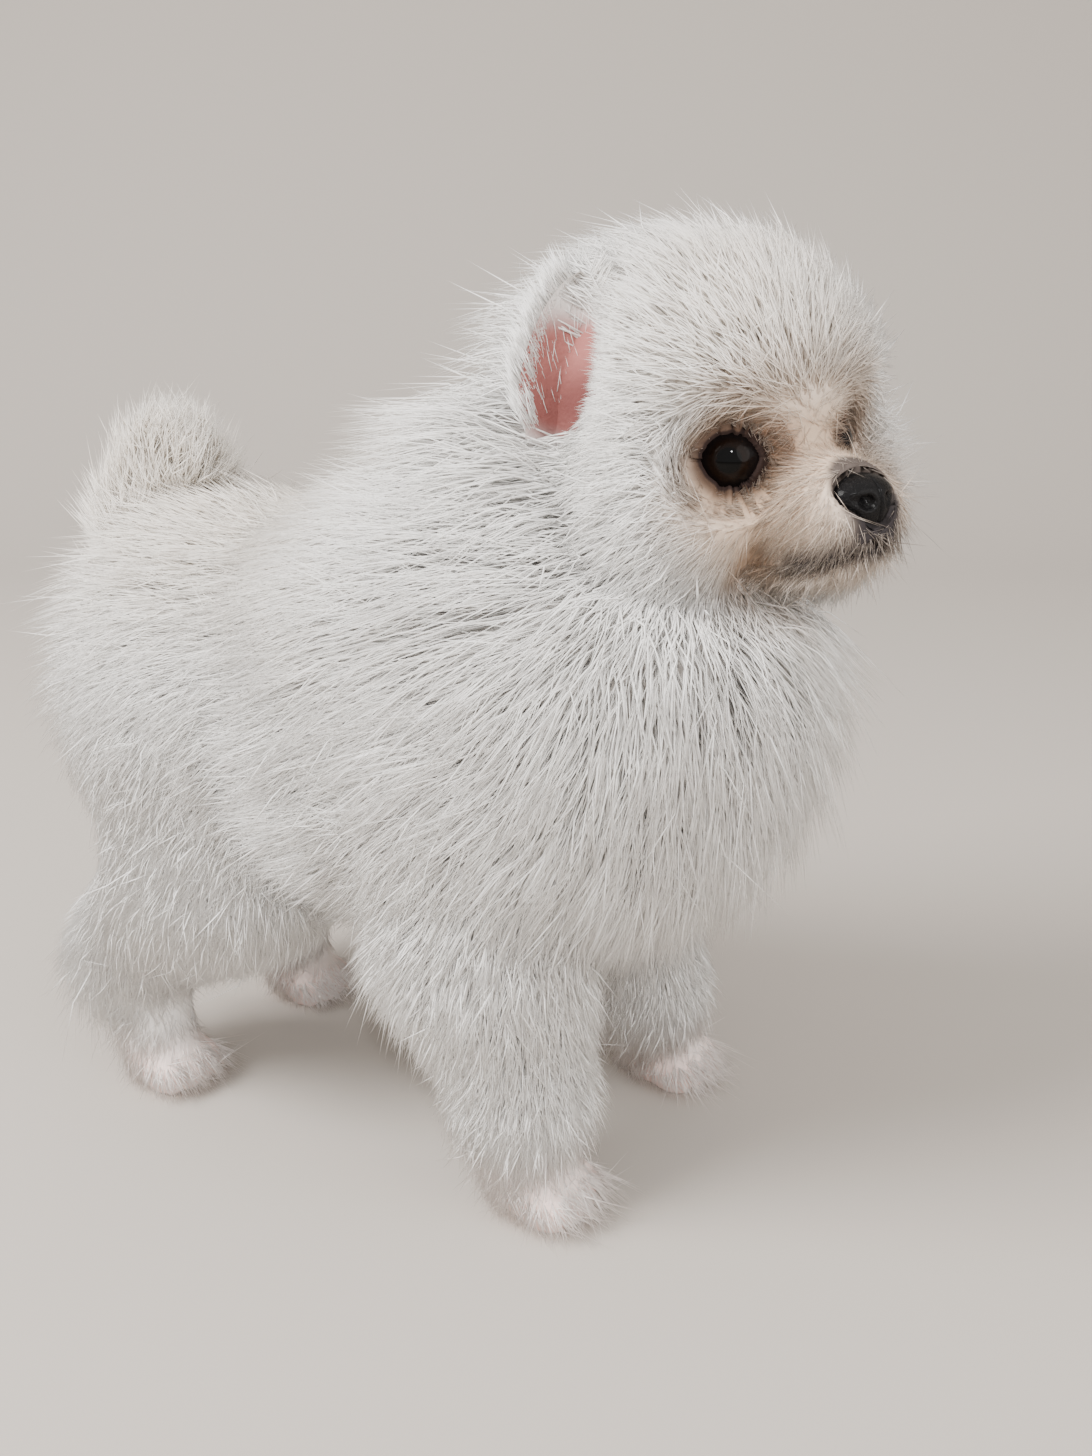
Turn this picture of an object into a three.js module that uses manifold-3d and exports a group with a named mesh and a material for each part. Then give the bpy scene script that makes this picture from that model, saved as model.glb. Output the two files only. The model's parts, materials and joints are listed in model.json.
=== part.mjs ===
// A Pomeranian puppy standing on four paws, life size, in millimetres.
// +X is forward along the trunk, +Y the puppy's left and +Z up from the floor.
// The flesh is given as smooth-blended balls, and the long coat as tapered locks over a half-depth core.
import * as THREE from "three";
import { mergeVertices } from "three/addons/utils/BufferGeometryUtils.js";
import Module from "manifold-3d";

const wasm = await Module();
wasm.setup();

const V = (x, y, z) => new THREE.Vector3(x, y, z);
const UP = V(0, 0, 1);

// Driving sizes.
const BACK_HEIGHT = 128;
const BODY_COAT = 21;
const RUFF_COAT = 27;
const CROWN_COAT = 16;
const TAIL_COAT = 11;
const CORE_SHARE = 0.5;
const GAP = 0.32;
const EYE_RADIUS = 7.2;
const PAW_COAT = 2;
const SINK = 3.5;
const DROOP = 0.12;
const EDGE_GROWTH = 5.5;
const TIP_GROWTH = 6;
const SHORT_COAT = 6;
const COVERED = 5;

// Seeded random numbers, so that every build is the same.
let seed = 7;
const random = () => {
  seed = (seed * 1664525 + 1013904223) % 4294967296;
  return seed / 4294967296;
};
const vary = (share) => 1 + share * (2 * random() - 1);
const mix = (a, b, t) => a + (b - a) * t;
const clamp01 = (t) => Math.min(1, Math.max(0, t));
const ramp = (from, to, x) => {
  const t = clamp01((x - from) / (to - from));
  return t * t * (3 - 2 * t);
};

// Fields: negative inside the flesh, about the distance to it in millimetres outside.
const ball = (at, half) => (p) => {
  const x = p.x - at[0];
  const y = p.y - at[1];
  const z = p.z - at[2];
  const k0 = Math.hypot(x / half[0], y / half[1], z / half[2]);
  const k1 = Math.hypot(x / half[0] ** 2, y / half[1] ** 2, z / half[2] ** 2);
  return k1 < 1e-9 ? -Math.min(...half) : (k0 * (k0 - 1)) / k1;
};
const bone = (a, ra, b, rb) => (p) => {
  const [A, B] = [V(...a), V(...b)];
  const along = B.clone().sub(A);
  const t = clamp01(p.clone().sub(A).dot(along) / along.lengthSq());
  return p.distanceTo(A.addScaledVector(along, t)) - mix(ra, rb, t);
};
const blend = (soft, ...fields) => (p) =>
  fields.map((f) => f(p)).reduce((a, b) => {
    const h = Math.max(soft - Math.abs(a - b), 0) / soft;
    return Math.min(a, b) - (h * h * soft) / 4;
  });
const gradient = (field, p) => {
  const e = 0.4;
  const d = (v) => field(p.clone().add(v)) - field(p.clone().sub(v));
  return V(d(V(e, 0, 0)), d(V(0, e, 0)), d(V(0, 0, e))).normalize();
};

// The head has its own frame: the origin midway between the eyes, x towards the nose.
const HEAD_AT = V(91.7, 1.3, 160.3);
const HEAD_TURN = new THREE.Euler(
  THREE.MathUtils.degToRad(3),
  THREE.MathUtils.degToRad(-5),
  THREE.MathUtils.degToRad(-26),
  "ZYX",
);
const headMatrix = new THREE.Matrix4()
  .makeRotationFromEuler(HEAD_TURN)
  .setPosition(HEAD_AT);
const headInverse = headMatrix.clone().invert();
const fromHead = (p) => p.clone().applyMatrix4(headMatrix);
const toHead = (p) => p.clone().applyMatrix4(headInverse);
const headWay = (v) => v.clone().transformDirection(headMatrix);

// Trunk, neck and tail.
const trunkFlesh = blend(
  14,
  ball([12, 0, BACK_HEIGHT - 33], [50, 31, 33]),
  ball([-42, 0, BACK_HEIGHT - 30], [31, 28, 29]),
  ball([46, 0, BACK_HEIGHT - 27], [30, 29, 37]),
);
const neckFlesh = blend(
  8,
  bone([40, 0, 116], 28, [52, 6, 140], 19),
  ball([60, 0, 120], [21, 23, 24]),
);
const tailLine = [V(-62, 0, 118), V(-68, 0, 133), V(-63, 0, 146)];
const tailFlesh = blend(
  4,
  bone([-62, 0, 118], 7, [-68, 0, 133], 5.5),
  bone([-68, 0, 133], 5.5, [-63, 0, 146], 4),
);
const trunkCoat = (p) =>
  BODY_COAT + 7 * ramp(40, 80, p.x) * ramp(70, 100, p.z) - 3 * ramp(75, 55, p.z);
const neckCoat = (p) =>
  mix(RUFF_COAT, 14, ramp(122, 146, p.z) * ramp(34, 60, p.x)) + 3 * ramp(50, 20, p.x);

// Legs: each a list of joints from the top down, with the flesh radius at each.
const FORE_TOP = 92;
const foreJoints = (side, pawX, pawY) => [
  [42, side * 20, FORE_TOP, 15],
  [40, side * 26, 58, 11],
  [pawX - 6, pawY - side * 2, 22, 7.5],
  [pawX - 3, pawY, 9, 7],
];
const hindJoints = (side, pawX, pawY) => [
  [-36, side * 19, 88, 20],
  [-32, side * 24, 60, 15],
  [pawX - 9, pawY, 31, 7.5],
  [pawX - 3, pawY, 9, 6.5],
];
const legFlesh = (joints) =>
  blend(
    8,
    ...joints.slice(1).map((b, i) => {
      const a = joints[i];
      return bone(a.slice(0, 3), a[3], b.slice(0, 3), b[3]);
    }),
  );
const foreCoat = (p) => mix(4.5, 15, ramp(6, 62, p.z));
const hindCoat = (p) => mix(4.5, 17, ramp(8, 60, p.z));

// Mesh code. A grid of rings with a pole at each end, closed and facing out.
function ringMesh(first, rings, last) {
  const points = [first, ...rings.flat(), last];
  const n = rings[0].length;
  const index = [];
  for (let j = 0; j < n; j++) {
    const k = (j + 1) % n;
    index.push(0, 1 + k, 1 + j);
    for (let i = 0; i < rings.length - 1; i++) {
      const a = 1 + i * n;
      const b = a + n;
      index.push(a + j, a + k, b + k, a + j, b + k, b + j);
    }
    const c = 1 + (rings.length - 1) * n;
    index.push(points.length - 1, c + j, c + k);
  }
  const geometry = new THREE.BufferGeometry().setFromPoints(points);
  geometry.setIndex(index);
  return geometry;
}

// Where the ray from a point inside first leaves the field's surface.
function surfacePoint(field, from, way) {
  const STRIDE = 1.5;
  let outside = STRIDE;
  while (field(from.clone().addScaledVector(way, outside)) < 0) outside += STRIDE;
  let inside = outside - STRIDE;
  for (let i = 0; i < 24; i++) {
    const middle = (inside + outside) / 2;
    if (field(from.clone().addScaledVector(way, middle)) < 0) inside = middle;
    else outside = middle;
  }
  return from.clone().addScaledVector(way, inside);
}

// Two directions across a way, the first of them as level as it can be.
function across(way) {
  const level = V(0, 1, 0).addScaledVector(way, -way.y).normalize();
  return [level, way.clone().cross(level)];
}

// The field's surface as seen from one centre, with the poles on an axis.
function wrapBall(field, centre, axis, rings, sides) {
  const [u, v] = across(axis);
  const at = (polar, turn) =>
    surfacePoint(
      field,
      centre,
      axis
        .clone()
        .multiplyScalar(Math.cos(polar))
        .addScaledVector(u, Math.sin(polar) * Math.cos(turn))
        .addScaledVector(v, Math.sin(polar) * Math.sin(turn)),
    );
  const loops = [];
  for (let i = rings - 1; i > 0; i--)
    loops.push(
      Array.from({ length: sides }, (_, j) =>
        at((Math.PI * i) / rings, (2 * Math.PI * j) / sides),
      ),
    );
  return ringMesh(at(Math.PI, 0), loops, at(0, 0));
}

// The field's surface round a bent line of points, with a rounded cap at each end.
function wrapAlong(field, line, steps, sides) {
  const curve = new THREE.CatmullRomCurve3(line);
  const CAP = 3;
  const ring = (centre, way, tilt) => {
    const [u, v] = across(way);
    return Array.from({ length: sides }, (_, j) => {
      const turn = (2 * Math.PI * j) / sides;
      const ray = u
        .clone()
        .multiplyScalar(Math.cos(turn) * Math.cos(tilt))
        .addScaledVector(v, Math.sin(turn) * Math.cos(tilt))
        .addScaledVector(way, Math.sin(tilt));
      return surfacePoint(field, centre, ray);
    });
  };
  const [a, b] = [curve.getPoint(0), curve.getPoint(1)];
  const [wayA, wayB] = [curve.getTangent(0), curve.getTangent(1)];
  const rings = [];
  for (let i = 1; i < CAP; i++) rings.push(ring(a, wayA, (-Math.PI / 2) * (1 - i / CAP)));
  for (let i = 0; i <= steps; i++)
    rings.push(ring(curve.getPoint(i / steps), curve.getTangent(i / steps), 0));
  for (let i = CAP - 1; i > 0; i--) rings.push(ring(b, wayB, (Math.PI / 2) * (1 - i / CAP)));
  return ringMesh(
    surfacePoint(field, a, wayA.clone().negate()),
    rings,
    surfacePoint(field, b, wayB),
  );
}

// A round tube along a curve, open to nothing: both ends are closed to a point.
function tube(curve, radius, steps, sides) {
  const rings = [];
  for (let i = 0; i <= steps; i++) {
    const [u, v] = across(curve.getTangent(i / steps));
    const centre = curve.getPoint(i / steps);
    rings.push(
      Array.from({ length: sides }, (_, j) => {
        const turn = (2 * Math.PI * j) / sides;
        return centre
          .clone()
          .addScaledVector(u, radius * Math.cos(turn))
          .addScaledVector(v, radius * Math.sin(turn));
      }),
    );
  }
  const ends = [0, 1].map((t) =>
    curve.getPoint(t).addScaledVector(curve.getTangent(t), (2 * t - 1) * radius * 0.8),
  );
  return ringMesh(ends[0], rings, ends[1]);
}

// A stack of ovals along a way; each row is the height, the two half widths and a shift.
function stack(base, way, wide, rows, sides, tip) {
  const deep = way.clone().cross(wide).normalize();
  const at = (s) => base.clone().addScaledVector(way, s);
  const rings = rows.map(([s, w, d, shift]) =>
    Array.from({ length: sides }, (_, j) => {
      const turn = (2 * Math.PI * j) / sides;
      return at(s)
        .addScaledVector(deep, shift + d * Math.sin(turn))
        .addScaledVector(wide, w * Math.cos(turn));
    }),
  );
  const [first, last] = [rows[0], rows[rows.length - 1]];
  return ringMesh(
    at(first[0]).addScaledVector(deep, first[3]),
    rings,
    at(last[0] + tip).addScaledVector(deep, last[3]),
  );
}

const solid = (geometry) => {
  const bare = new THREE.BufferGeometry();
  bare.setAttribute("position", geometry.getAttribute("position"));
  bare.setIndex(geometry.index);
  const merged = mergeVertices(bare, 1e-4);
  return new wasm.Manifold(
    new wasm.Mesh({
      numProp: 3,
      vertProperties: merged.attributes.position.array,
      triVerts: new Uint32Array(merged.index.array),
    }),
  );
};
const united = (solids) => wasm.Manifold.union(solids);
const largest = (whole) =>
  whole.decompose().reduce((a, b) => (b.volume() > a.volume() ? b : a));

const cutBy = (whole, ...others) => others.reduce((a, b) => a.subtract(b), whole);

// A body with the copy of itself, grown by the gap, that its later neighbours are cut with.
const pair = (make) => ({ body: make(0), grown: make(GAP) });

// One flat lock: rooted in the core, it leaves along the lie, bends over and ends in a point.
// Each row is how far along it is, and its share of the width and of the thickness.
const LOCK_ROWS = [
  [-1, 0.85, 0.85],
  [0.5, 1, 0.9],
];
function lock({ root, normal, lie, lift, length, width, thick }, grow) {
  const along = lie.clone().addScaledVector(normal, -lie.dot(normal)).normalize();
  const start = along.clone().addScaledVector(normal, lift).normalize();
  const side = normal.clone().cross(along).normalize();
  const droop = along.clone().multiplyScalar(0.2).addScaledVector(normal, -DROOP);
  const at = (s) => root.clone().addScaledVector(start, s * length).addScaledVector(droop, s * s * length);
  const rings = LOCK_ROWS.map(([s, w, t]) => {
    const centre = s < 0 ? root.clone().addScaledVector(normal, -SINK) : at(s);
    const way = s < 0 ? start : at(s + 0.05).sub(at(s)).normalize();
    const out = way.clone().cross(side).normalize();
    const half = (width * w) / 2 + EDGE_GROWTH * grow;
    const above = thick * t * 0.5 + 1.2 * grow;
    const below = thick * t * 0.35 + grow;
    return [
      centre.clone().addScaledVector(side, half).addScaledVector(out, -below),
      centre.clone().addScaledVector(out, above),
      centre.clone().addScaledVector(side, -half).addScaledVector(out, -below),
    ];
  });
  const tip = at(1);
  tip.addScaledVector(at(1).sub(at(0.5)).normalize(), TIP_GROWTH * grow);
  const foot = root.clone().addScaledVector(normal, -SINK).addScaledVector(start, -0.8 - grow);
  return solid(ringMesh(foot, rings, tip));
}

// Where locks grow: evenly over a wrap from one centre, or round a bent line.
const GOLDEN = Math.PI * (3 - Math.sqrt(5));
const rootsRound = (centre, count) => (field) =>
  Array.from({ length: count }, (_, i) => {
    const z = 1 - (2 * i + 1) / count;
    const turn = i * GOLDEN + 0.5 * random();
    const flat = Math.sqrt(1 - z * z);
    const way = V(flat * Math.cos(turn), flat * Math.sin(turn), z + 0.1 * (random() - 0.5)).normalize();
    return surfacePoint(field, centre, way);
  });
const rootsAlong = (line, count) => (field) =>
  Array.from({ length: count }, (_, i) => {
    const t = (i + 0.5 + 0.4 * random()) / (count + 0.5);
    const curve = new THREE.CatmullRomCurve3(line);
    const [u, v] = across(curve.getTangent(t));
    const turn = i * GOLDEN + 0.4 * random();
    const way = u.multiplyScalar(Math.cos(turn)).addScaledVector(v, Math.sin(turn));
    return surfacePoint(field, curve.getPoint(t), way);
  });

// A furred body: a core to part of the coat's depth, with its locks laid over it out to the tips.
// A root that another body covers, or where the coat is short, is left out.
function furred({ flesh, depth, wrap, roots, lie, lift, width, thick, covers = [] }) {
  const core = (grow) => (p) => flesh(p) - CORE_SHARE * depth(p) - grow;
  const bare = (p) => depth(p) < SHORT_COAT || covers.some((cover) => cover(p) < -COVERED);
  const locks = roots(core(0))
    .filter((p) => !bare(p))
    .map((root) => {
      const normal = gradient(flesh, root);
      const height = depth(root) * (1 - CORE_SHARE) * vary(0.14);
      const rise = lift / Math.hypot(1, lift) - DROOP;
      return {
        root,
        normal,
        lie: lie(root, normal).add(V(random() - 0.5, random() - 0.5, random() - 0.5).multiplyScalar(0.35)),
        lift,
        length: height / rise,
        width: width * vary(0.25),
        thick: thick * vary(0.2),
      };
    });
  return pair((grow) => united([solid(wrap(core(grow))), ...locks.map((one) => lock(one, grow))]));
}

// Head flesh and coat, in the head's own frame.
const inHead = (field) => (p) => field(toHead(p));
const headFlesh = blend(
  6,
  ball([-24, 0, 6], [27, 25, 23]),
  ball([-8, 0, 9], [17, 20, 13]),
  ball([-10, 17, -9], [16, 10, 13]),
  ball([-10, -17, -9], [16, 10, 13]),
  ball([4, 0, -9], [18, 12, 9.5]),
  ball([12.5, 4.6, -12.5], [9, 6, 6]),
  ball([12.5, -4.6, -12.5], [9, 6, 6]),
  ball([5, 0, -18.5], [14, 8.5, 6]),
);
const EAR_FOOT = V(-30, 31, 6);
const EAR_WAY = V(0.03, -0.12, 0.99).normalize();
const EAR_OPEN = V(0.74, 0.67, 0.1).normalize();
const EAR_TALL = 32;
const headCoat = (q) => {
  const foot = V(q.x, Math.abs(q.y), q.z).sub(EAR_FOOT);
  const fromEar = foot.addScaledVector(EAR_WAY, -foot.dot(EAR_WAY)).length();
  const inFront = ramp(-8, 3, foot.dot(EAR_OPEN));
  const short = mix(1, mix(0.3, 1, ramp(9, 22, fromEar)), inFront);
  return 0.6 + CROWN_COAT * short * ramp(18, 50, q.distanceTo(V(16, 0, -6)));
};

// Eyes: a globe in its socket under raised lids, seen through an almond opening.
const eyes = [1, -1].map((side) => {
  const centre = V(-3, side * 11.5, 0);
  const look = V(0.743, side * 0.669, 0.04).normalize();
  const globe = (radius, rings, sides) =>
    solid(wrapBall((p) => p.distanceTo(fromHead(centre)) - radius, fromHead(centre), headWay(look), rings, sides));
  const level = V(0, 0, 1).cross(look).normalize();
  const opening = solid(
    stack(fromHead(centre), headWay(look), headWay(level), [[0.2, 0.6, 0.6, 0], [4.4, 5.5, 5, 0], [16, 6.8, 6.2, 0]], 12, 1),
  );
  return {
    at: fromHead(centre),
    ball: pair((grow) => globe(EYE_RADIUS + grow, 9, 14)),
    lids: pair((grow) => globe(EYE_RADIUS + 1.3 + grow, 7, 12)),
    opening,
  };
});

// Nose leather with two nostrils and the groove below it.
const noseFlesh = blend(
  2.5,
  ball([19.3, 0, -7.6], [4.3, 6, 3.7]),
  ball([19.8, 0, -10], [3.4, 3.6, 3.4]),
);
const nostrils = [1, -1].map((side) =>
  solid(
    tube(
      new THREE.CatmullRomCurve3(
        [V(21.2, side * 2.2, -8.2), V(24.2, side * 2.5, -8.6), V(24.4, side * 5.2, -7.6)].map(fromHead),
      ),
      1.05,
      4,
      6,
    ),
  ),
);
const philtrum = solid(
  tube(new THREE.CatmullRomCurve3([V(23.9, 0, -8.8), V(23.2, 0, -12), V(22.2, 0, -16)].map(fromHead)), 0.5, 4, 5),
);
const noseCentre = fromHead(V(19.4, 0, -8.6));
const nose = pair((grow) =>
  solid(wrapBall(inHead((q) => noseFlesh(q) - grow), noseCentre, headWay(V(1, 0, 0)), 9, 14)),
);
nose.body = cutBy(nose.body, ...nostrils, philtrum);

// Lips: a groove along the mouth between two soft rims, taken to the surface of the head.
const headCentre = V(-5, 0, -3);
const headSurface = (q) => headFlesh(q) - headCoat(q);
const mouthPoints = [-1, -0.8, -0.55, -0.3, 0, 0.3, 0.55, 0.8, 1].map((s) => {
  const a = Math.abs(s);
  return V(mix(22, 3, a ** 1.6), s * mix(16, 13.5, a), -16.4 - 5.5 * ramp(0, 1, a));
});
const mouthLine = (drop, sunk) =>
  new THREE.CatmullRomCurve3(
    mouthPoints.map((q) => {
      const from = V(4, 0, -14.5);
      const way = q.clone().add(V(0, 0, drop)).sub(from).normalize();
      const at = surfacePoint(headSurface, from, way);
      return fromHead(at.addScaledVector(way, -sunk));
    }),
  );
const lips = [1, -1].map((side) =>
  pair((grow) => solid(tube(mouthLine(side * 1.2, 0.65), 1.2 + grow, 10, 5))),
);
const mouth = solid(tube(mouthLine(0, 0.1), 0.6, 10, 4));

// Ears: upright cups, open forward and outward.
const ears = [1, -1].map((side) => {
  const mirror = V(1, side, 1);
  const base = fromHead(EAR_FOOT.clone().multiply(mirror));
  const way = headWay(EAR_WAY.clone().multiply(mirror));
  const open = headWay(EAR_OPEN.clone().multiply(mirror));
  const wide = open.clone().cross(way).normalize();
  const outline = (grow, rows, front, sides, tip) =>
    solid(
      stack(
        base,
        way,
        wide,
        rows.map(([share, w, d, shift]) => [share * EAR_TALL, w + grow, d + grow, -shift * front]),
        sides,
        tip + grow,
      ),
    );
  const shell = (grow) =>
    outline(
      grow,
      [
        [-0.1 - grow / EAR_TALL, 11, 6.5, 0],
        [0.15, 13, 7, 0],
        [0.45, 11.4, 5.8, 0],
        [0.7, 8, 4.4, 0],
        [0.92, 3.4, 2.4, 0],
      ],
      1,
      16,
      3,
    );
  const cup = outline(
    0,
    [
      [0, 5, 3, 4.6],
      [0.14, 9.6, 5, 4.8],
      [0.42, 8.2, 4.2, 4.2],
      [0.68, 4.8, 2.8, 3.2],
      [0.82, 1.6, 1.3, 2.2],
    ],
    1,
    14,
    2,
  );
  const made = pair(shell);
  made.body = made.body.subtract(cup);
  return made;
});

// The bulk of each large body out to its tips, which hides the roots of those behind it.
const headBulk = inHead((q) => headFlesh(q) - headCoat(q));
const neckBulk = (p) => neckFlesh(p) - neckCoat(p);
const trunkBulk = (p) => trunkFlesh(p) - trunkCoat(p);

const head = furred({
  flesh: inHead(headFlesh),
  depth: inHead(headCoat),
  wrap: (field) => wrapBall(field, fromHead(headCentre), headWay(V(1, 0, -0.15).normalize()), 18, 18),
  roots: rootsRound(fromHead(V(-18, 0, 2)), 44),
  lie: (p) => {
    const q = toHead(p);
    return headWay(V(q.x - 22, q.y, q.z - (q.z < 0 ? 6 : 0)).normalize().add(V(-0.3, 0, -0.1)));
  },
  lift: 0.95,
  width: 20,
  thick: 5,
  covers: eyes.map((eye) => (p) => p.distanceTo(eye.at) - EYE_RADIUS),
});
const raised = [head, ...lips, ...eyes.map((eye) => eye.lids)];
head.grown = united(raised.map((made) => made.grown));
head.body = cutBy(
  united(raised.map((made) => made.body)),
  mouth,
  philtrum,
  ...eyes.map((eye) => eye.opening),
);

const neck = furred({
  flesh: neckFlesh,
  depth: neckCoat,
  wrap: (field) => wrapBall(field, V(50, 1, 126), V(0.4, 0, 0.9).normalize(), 10, 14),
  roots: rootsRound(V(50, 1, 126), 58),
  lie: (p, n) => V(mix(-1, -0.1, ramp(45, 80, p.x)), 0.25 * n.y, -0.45 - 0.6 * ramp(45, 80, p.x)),
  lift: 0.8,
  width: 27,
  thick: 7,
  covers: [headBulk],
});
const tail = furred({
  flesh: tailFlesh,
  depth: () => TAIL_COAT,
  wrap: (field) => wrapAlong(field, tailLine, 4, 10),
  roots: rootsAlong(tailLine, 12),
  lie: (p) => V(0.3 * ramp(125, 145, p.z), 0, 1),
  lift: 0.6,
  width: 12,
  thick: 5,
});
const torso = furred({
  flesh: trunkFlesh,
  depth: trunkCoat,
  wrap: (field) => wrapBall(field, V(2, 0, 97), V(1, 0, 0), 12, 14),
  roots: rootsRound(V(2, 0, 97), 57),
  lie: (p, n) =>
    V(-1, 0.3 * n.y, -0.35 - 1.2 * ramp(45, 85, p.x) - 0.8 * ramp(-55, -85, p.x)),
  lift: 0.75,
  width: 30,
  thick: 8,
  covers: [neckBulk],
});

// Paws: four toes with claws, on a flat sole at the floor.
const below = (z) => solid(new THREE.BoxGeometry(400, 400, 100).translate(0, 0, z - 50));
const pawHalf = { fore: [10.5, 9, 8], hind: [10, 8.5, 7.5] };
const paw = (x, y, half, splay) => {
  const toes = [-1.5, -0.5, 0.5, 1.5].map((k) => {
    const out = k * splay;
    return V(x + half[0] * 0.66 - Math.abs(k) * 1.6, y + k * half[1] * 0.5 + out, 4);
  });
  const field = blend(
    2.2,
    ball([x, y, 5.6], half),
    ...toes.map((t) => ball(t.toArray(), [5.4, 2.7, 4.6])),
  );
  const claws = toes.map((t) =>
    solid(
      stack(
        V(t.x + 3.6, t.y, 4.4),
        V(0.93, 0, -0.36).normalize(),
        V(0, 1, 0),
        [[0, 0.75, 0.95, 0], [2.2, 0.6, 0.7, 0]],
        6,
        1.6,
      ),
    ),
  );
  const made = pair((grow) =>
    solid(wrapBall((p) => field(p) - grow, V(x + 1, y, 5), UP, 7, 16)),
  );
  made.body = united([made.body, ...claws]).subtract(below(0));
  return made;
};

const leg = (joints, depth) => {
  const line = joints.map((j) => V(...j.slice(0, 3)));
  const made = furred({
    flesh: legFlesh(joints),
    depth,
    wrap: (field) => wrapAlong(field, line, 6, 9),
    roots: rootsAlong(line, 14),
    lie: () => V(-0.3, 0, -1),
    lift: 0.5,
    width: 19,
    thick: 6,
    covers: [trunkBulk],
  });
  made.body = made.body.subtract(below(3));
  return made;
};

// The group is put together in order, and each body is cut back from those before it.
const WHITE = [0xf4f1ec, 0.95];
const CREAM = [0xe9dcc6, 0.95];
const BLACK = [0x0b0a0b, 0.08];
const LEATHER = [0x141214, 0.45];
const PINK = [0xd9b0a4, 0.7];
const order = [
  ["eye_left", eyes[0].ball, BLACK],
  ["eye_right", eyes[1].ball, BLACK],
  ["nose", nose, LEATHER],
  ["ear_left", ears[0], CREAM],
  ["ear_right", ears[1], CREAM],
  ["head", head, WHITE],
  ["neck", neck, WHITE],
  ["tail", tail, CREAM],
  ["torso", torso, WHITE],
  ["forepaw_left", paw(58, 33, pawHalf.fore, 0.3), PINK],
  ["forepaw_right", paw(56, -30, pawHalf.fore, 0.3), PINK],
  ["hindpaw_left", paw(-50, 25, pawHalf.hind, 0.3), PINK],
  ["hindpaw_right", paw(-52, -28, pawHalf.hind, 0.3), PINK],
  ["foreleg_left", leg(foreJoints(1, 58, 33), foreCoat), WHITE],
  ["foreleg_right", leg(foreJoints(-1, 56, -30), foreCoat), WHITE],
  ["hindleg_left", leg(hindJoints(1, -50, 25), hindCoat), WHITE],
  ["hindleg_right", leg(hindJoints(-1, -52, -28), hindCoat), WHITE],
];
const puppy = new THREE.Group();
puppy.name = "puppy";
const apart = (a, b) => {
  const [p, q] = [a.boundingBox(), b.boundingBox()];
  return [0, 1, 2].some((k) => p.max[k] < q.min[k] || q.max[k] < p.min[k]);
};
order.forEach(([name, { body }, [color, roughness]], i) => {
  const before = order.slice(0, i).map(([, other]) => other.grown);
  const near = before.filter((other) => !apart(body, other));
  const mesh = largest(cutBy(body, ...near)).getMesh();
  const geometry = new THREE.BufferGeometry();
  geometry.setAttribute("position", new THREE.BufferAttribute(mesh.vertProperties, 3));
  geometry.setIndex(new THREE.BufferAttribute(mesh.triVerts, 1));
  const material = new THREE.MeshStandardMaterial({ color, roughness, metalness: 0 });
  const node = new THREE.Mesh(geometry, material);
  node.name = name;
  puppy.add(node);
});

// The origin is on the floor under the middle of the whole.
const bounds = new THREE.Box3().setFromObject(puppy);
const middle = bounds.getCenter(V(0, 0, 0));
puppy.children.forEach(({ geometry }) =>
  geometry.translate(-middle.x, -middle.y, -bounds.min.z),
);

export default puppy;
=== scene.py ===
import json
import math

import bmesh
import bpy
import numpy as np
from mathutils import Matrix, Vector, kdtree

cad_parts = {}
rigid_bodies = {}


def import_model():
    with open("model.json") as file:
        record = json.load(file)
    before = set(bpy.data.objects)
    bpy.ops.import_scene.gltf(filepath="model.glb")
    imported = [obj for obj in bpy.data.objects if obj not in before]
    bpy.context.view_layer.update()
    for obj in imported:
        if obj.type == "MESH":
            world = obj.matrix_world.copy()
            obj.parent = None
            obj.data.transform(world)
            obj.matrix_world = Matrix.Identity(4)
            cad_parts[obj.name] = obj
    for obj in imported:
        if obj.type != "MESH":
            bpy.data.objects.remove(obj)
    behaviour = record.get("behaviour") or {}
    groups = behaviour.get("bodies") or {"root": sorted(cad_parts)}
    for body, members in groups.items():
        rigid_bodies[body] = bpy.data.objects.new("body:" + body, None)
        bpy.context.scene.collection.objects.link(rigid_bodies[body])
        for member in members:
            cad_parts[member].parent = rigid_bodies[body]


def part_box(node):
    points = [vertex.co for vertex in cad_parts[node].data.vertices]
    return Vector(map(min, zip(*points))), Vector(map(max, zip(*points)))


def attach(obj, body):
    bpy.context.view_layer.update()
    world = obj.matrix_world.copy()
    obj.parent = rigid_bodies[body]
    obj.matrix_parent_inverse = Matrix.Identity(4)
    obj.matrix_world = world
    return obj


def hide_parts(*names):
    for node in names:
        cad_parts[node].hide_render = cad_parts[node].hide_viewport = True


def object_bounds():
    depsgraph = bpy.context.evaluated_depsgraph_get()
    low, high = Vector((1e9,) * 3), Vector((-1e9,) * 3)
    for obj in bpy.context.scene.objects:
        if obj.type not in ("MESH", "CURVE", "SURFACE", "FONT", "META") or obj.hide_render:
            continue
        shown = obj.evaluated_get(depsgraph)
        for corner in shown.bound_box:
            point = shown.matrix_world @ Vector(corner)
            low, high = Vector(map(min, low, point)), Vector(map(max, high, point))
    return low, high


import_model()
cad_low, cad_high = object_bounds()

# The skin. One skin covers the flesh of the head, neck, trunk, tail, legs, paws and ears.
# It is soft, thin skin under a dense underfur, so it is drawn half way down the long coat, where
# the hairs part, and right at the surface where the fur is short. It is worked out in millimetres.
MM = 0.001
SHARE = 0.5


def turn(yaw, pitch, roll):
    about_z = Matrix.Rotation(math.radians(yaw), 3, "Z")
    about_y = Matrix.Rotation(math.radians(pitch), 3, "Y")
    about_x = Matrix.Rotation(math.radians(roll), 3, "X")
    return np.array(about_z @ about_y @ about_x)


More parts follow.
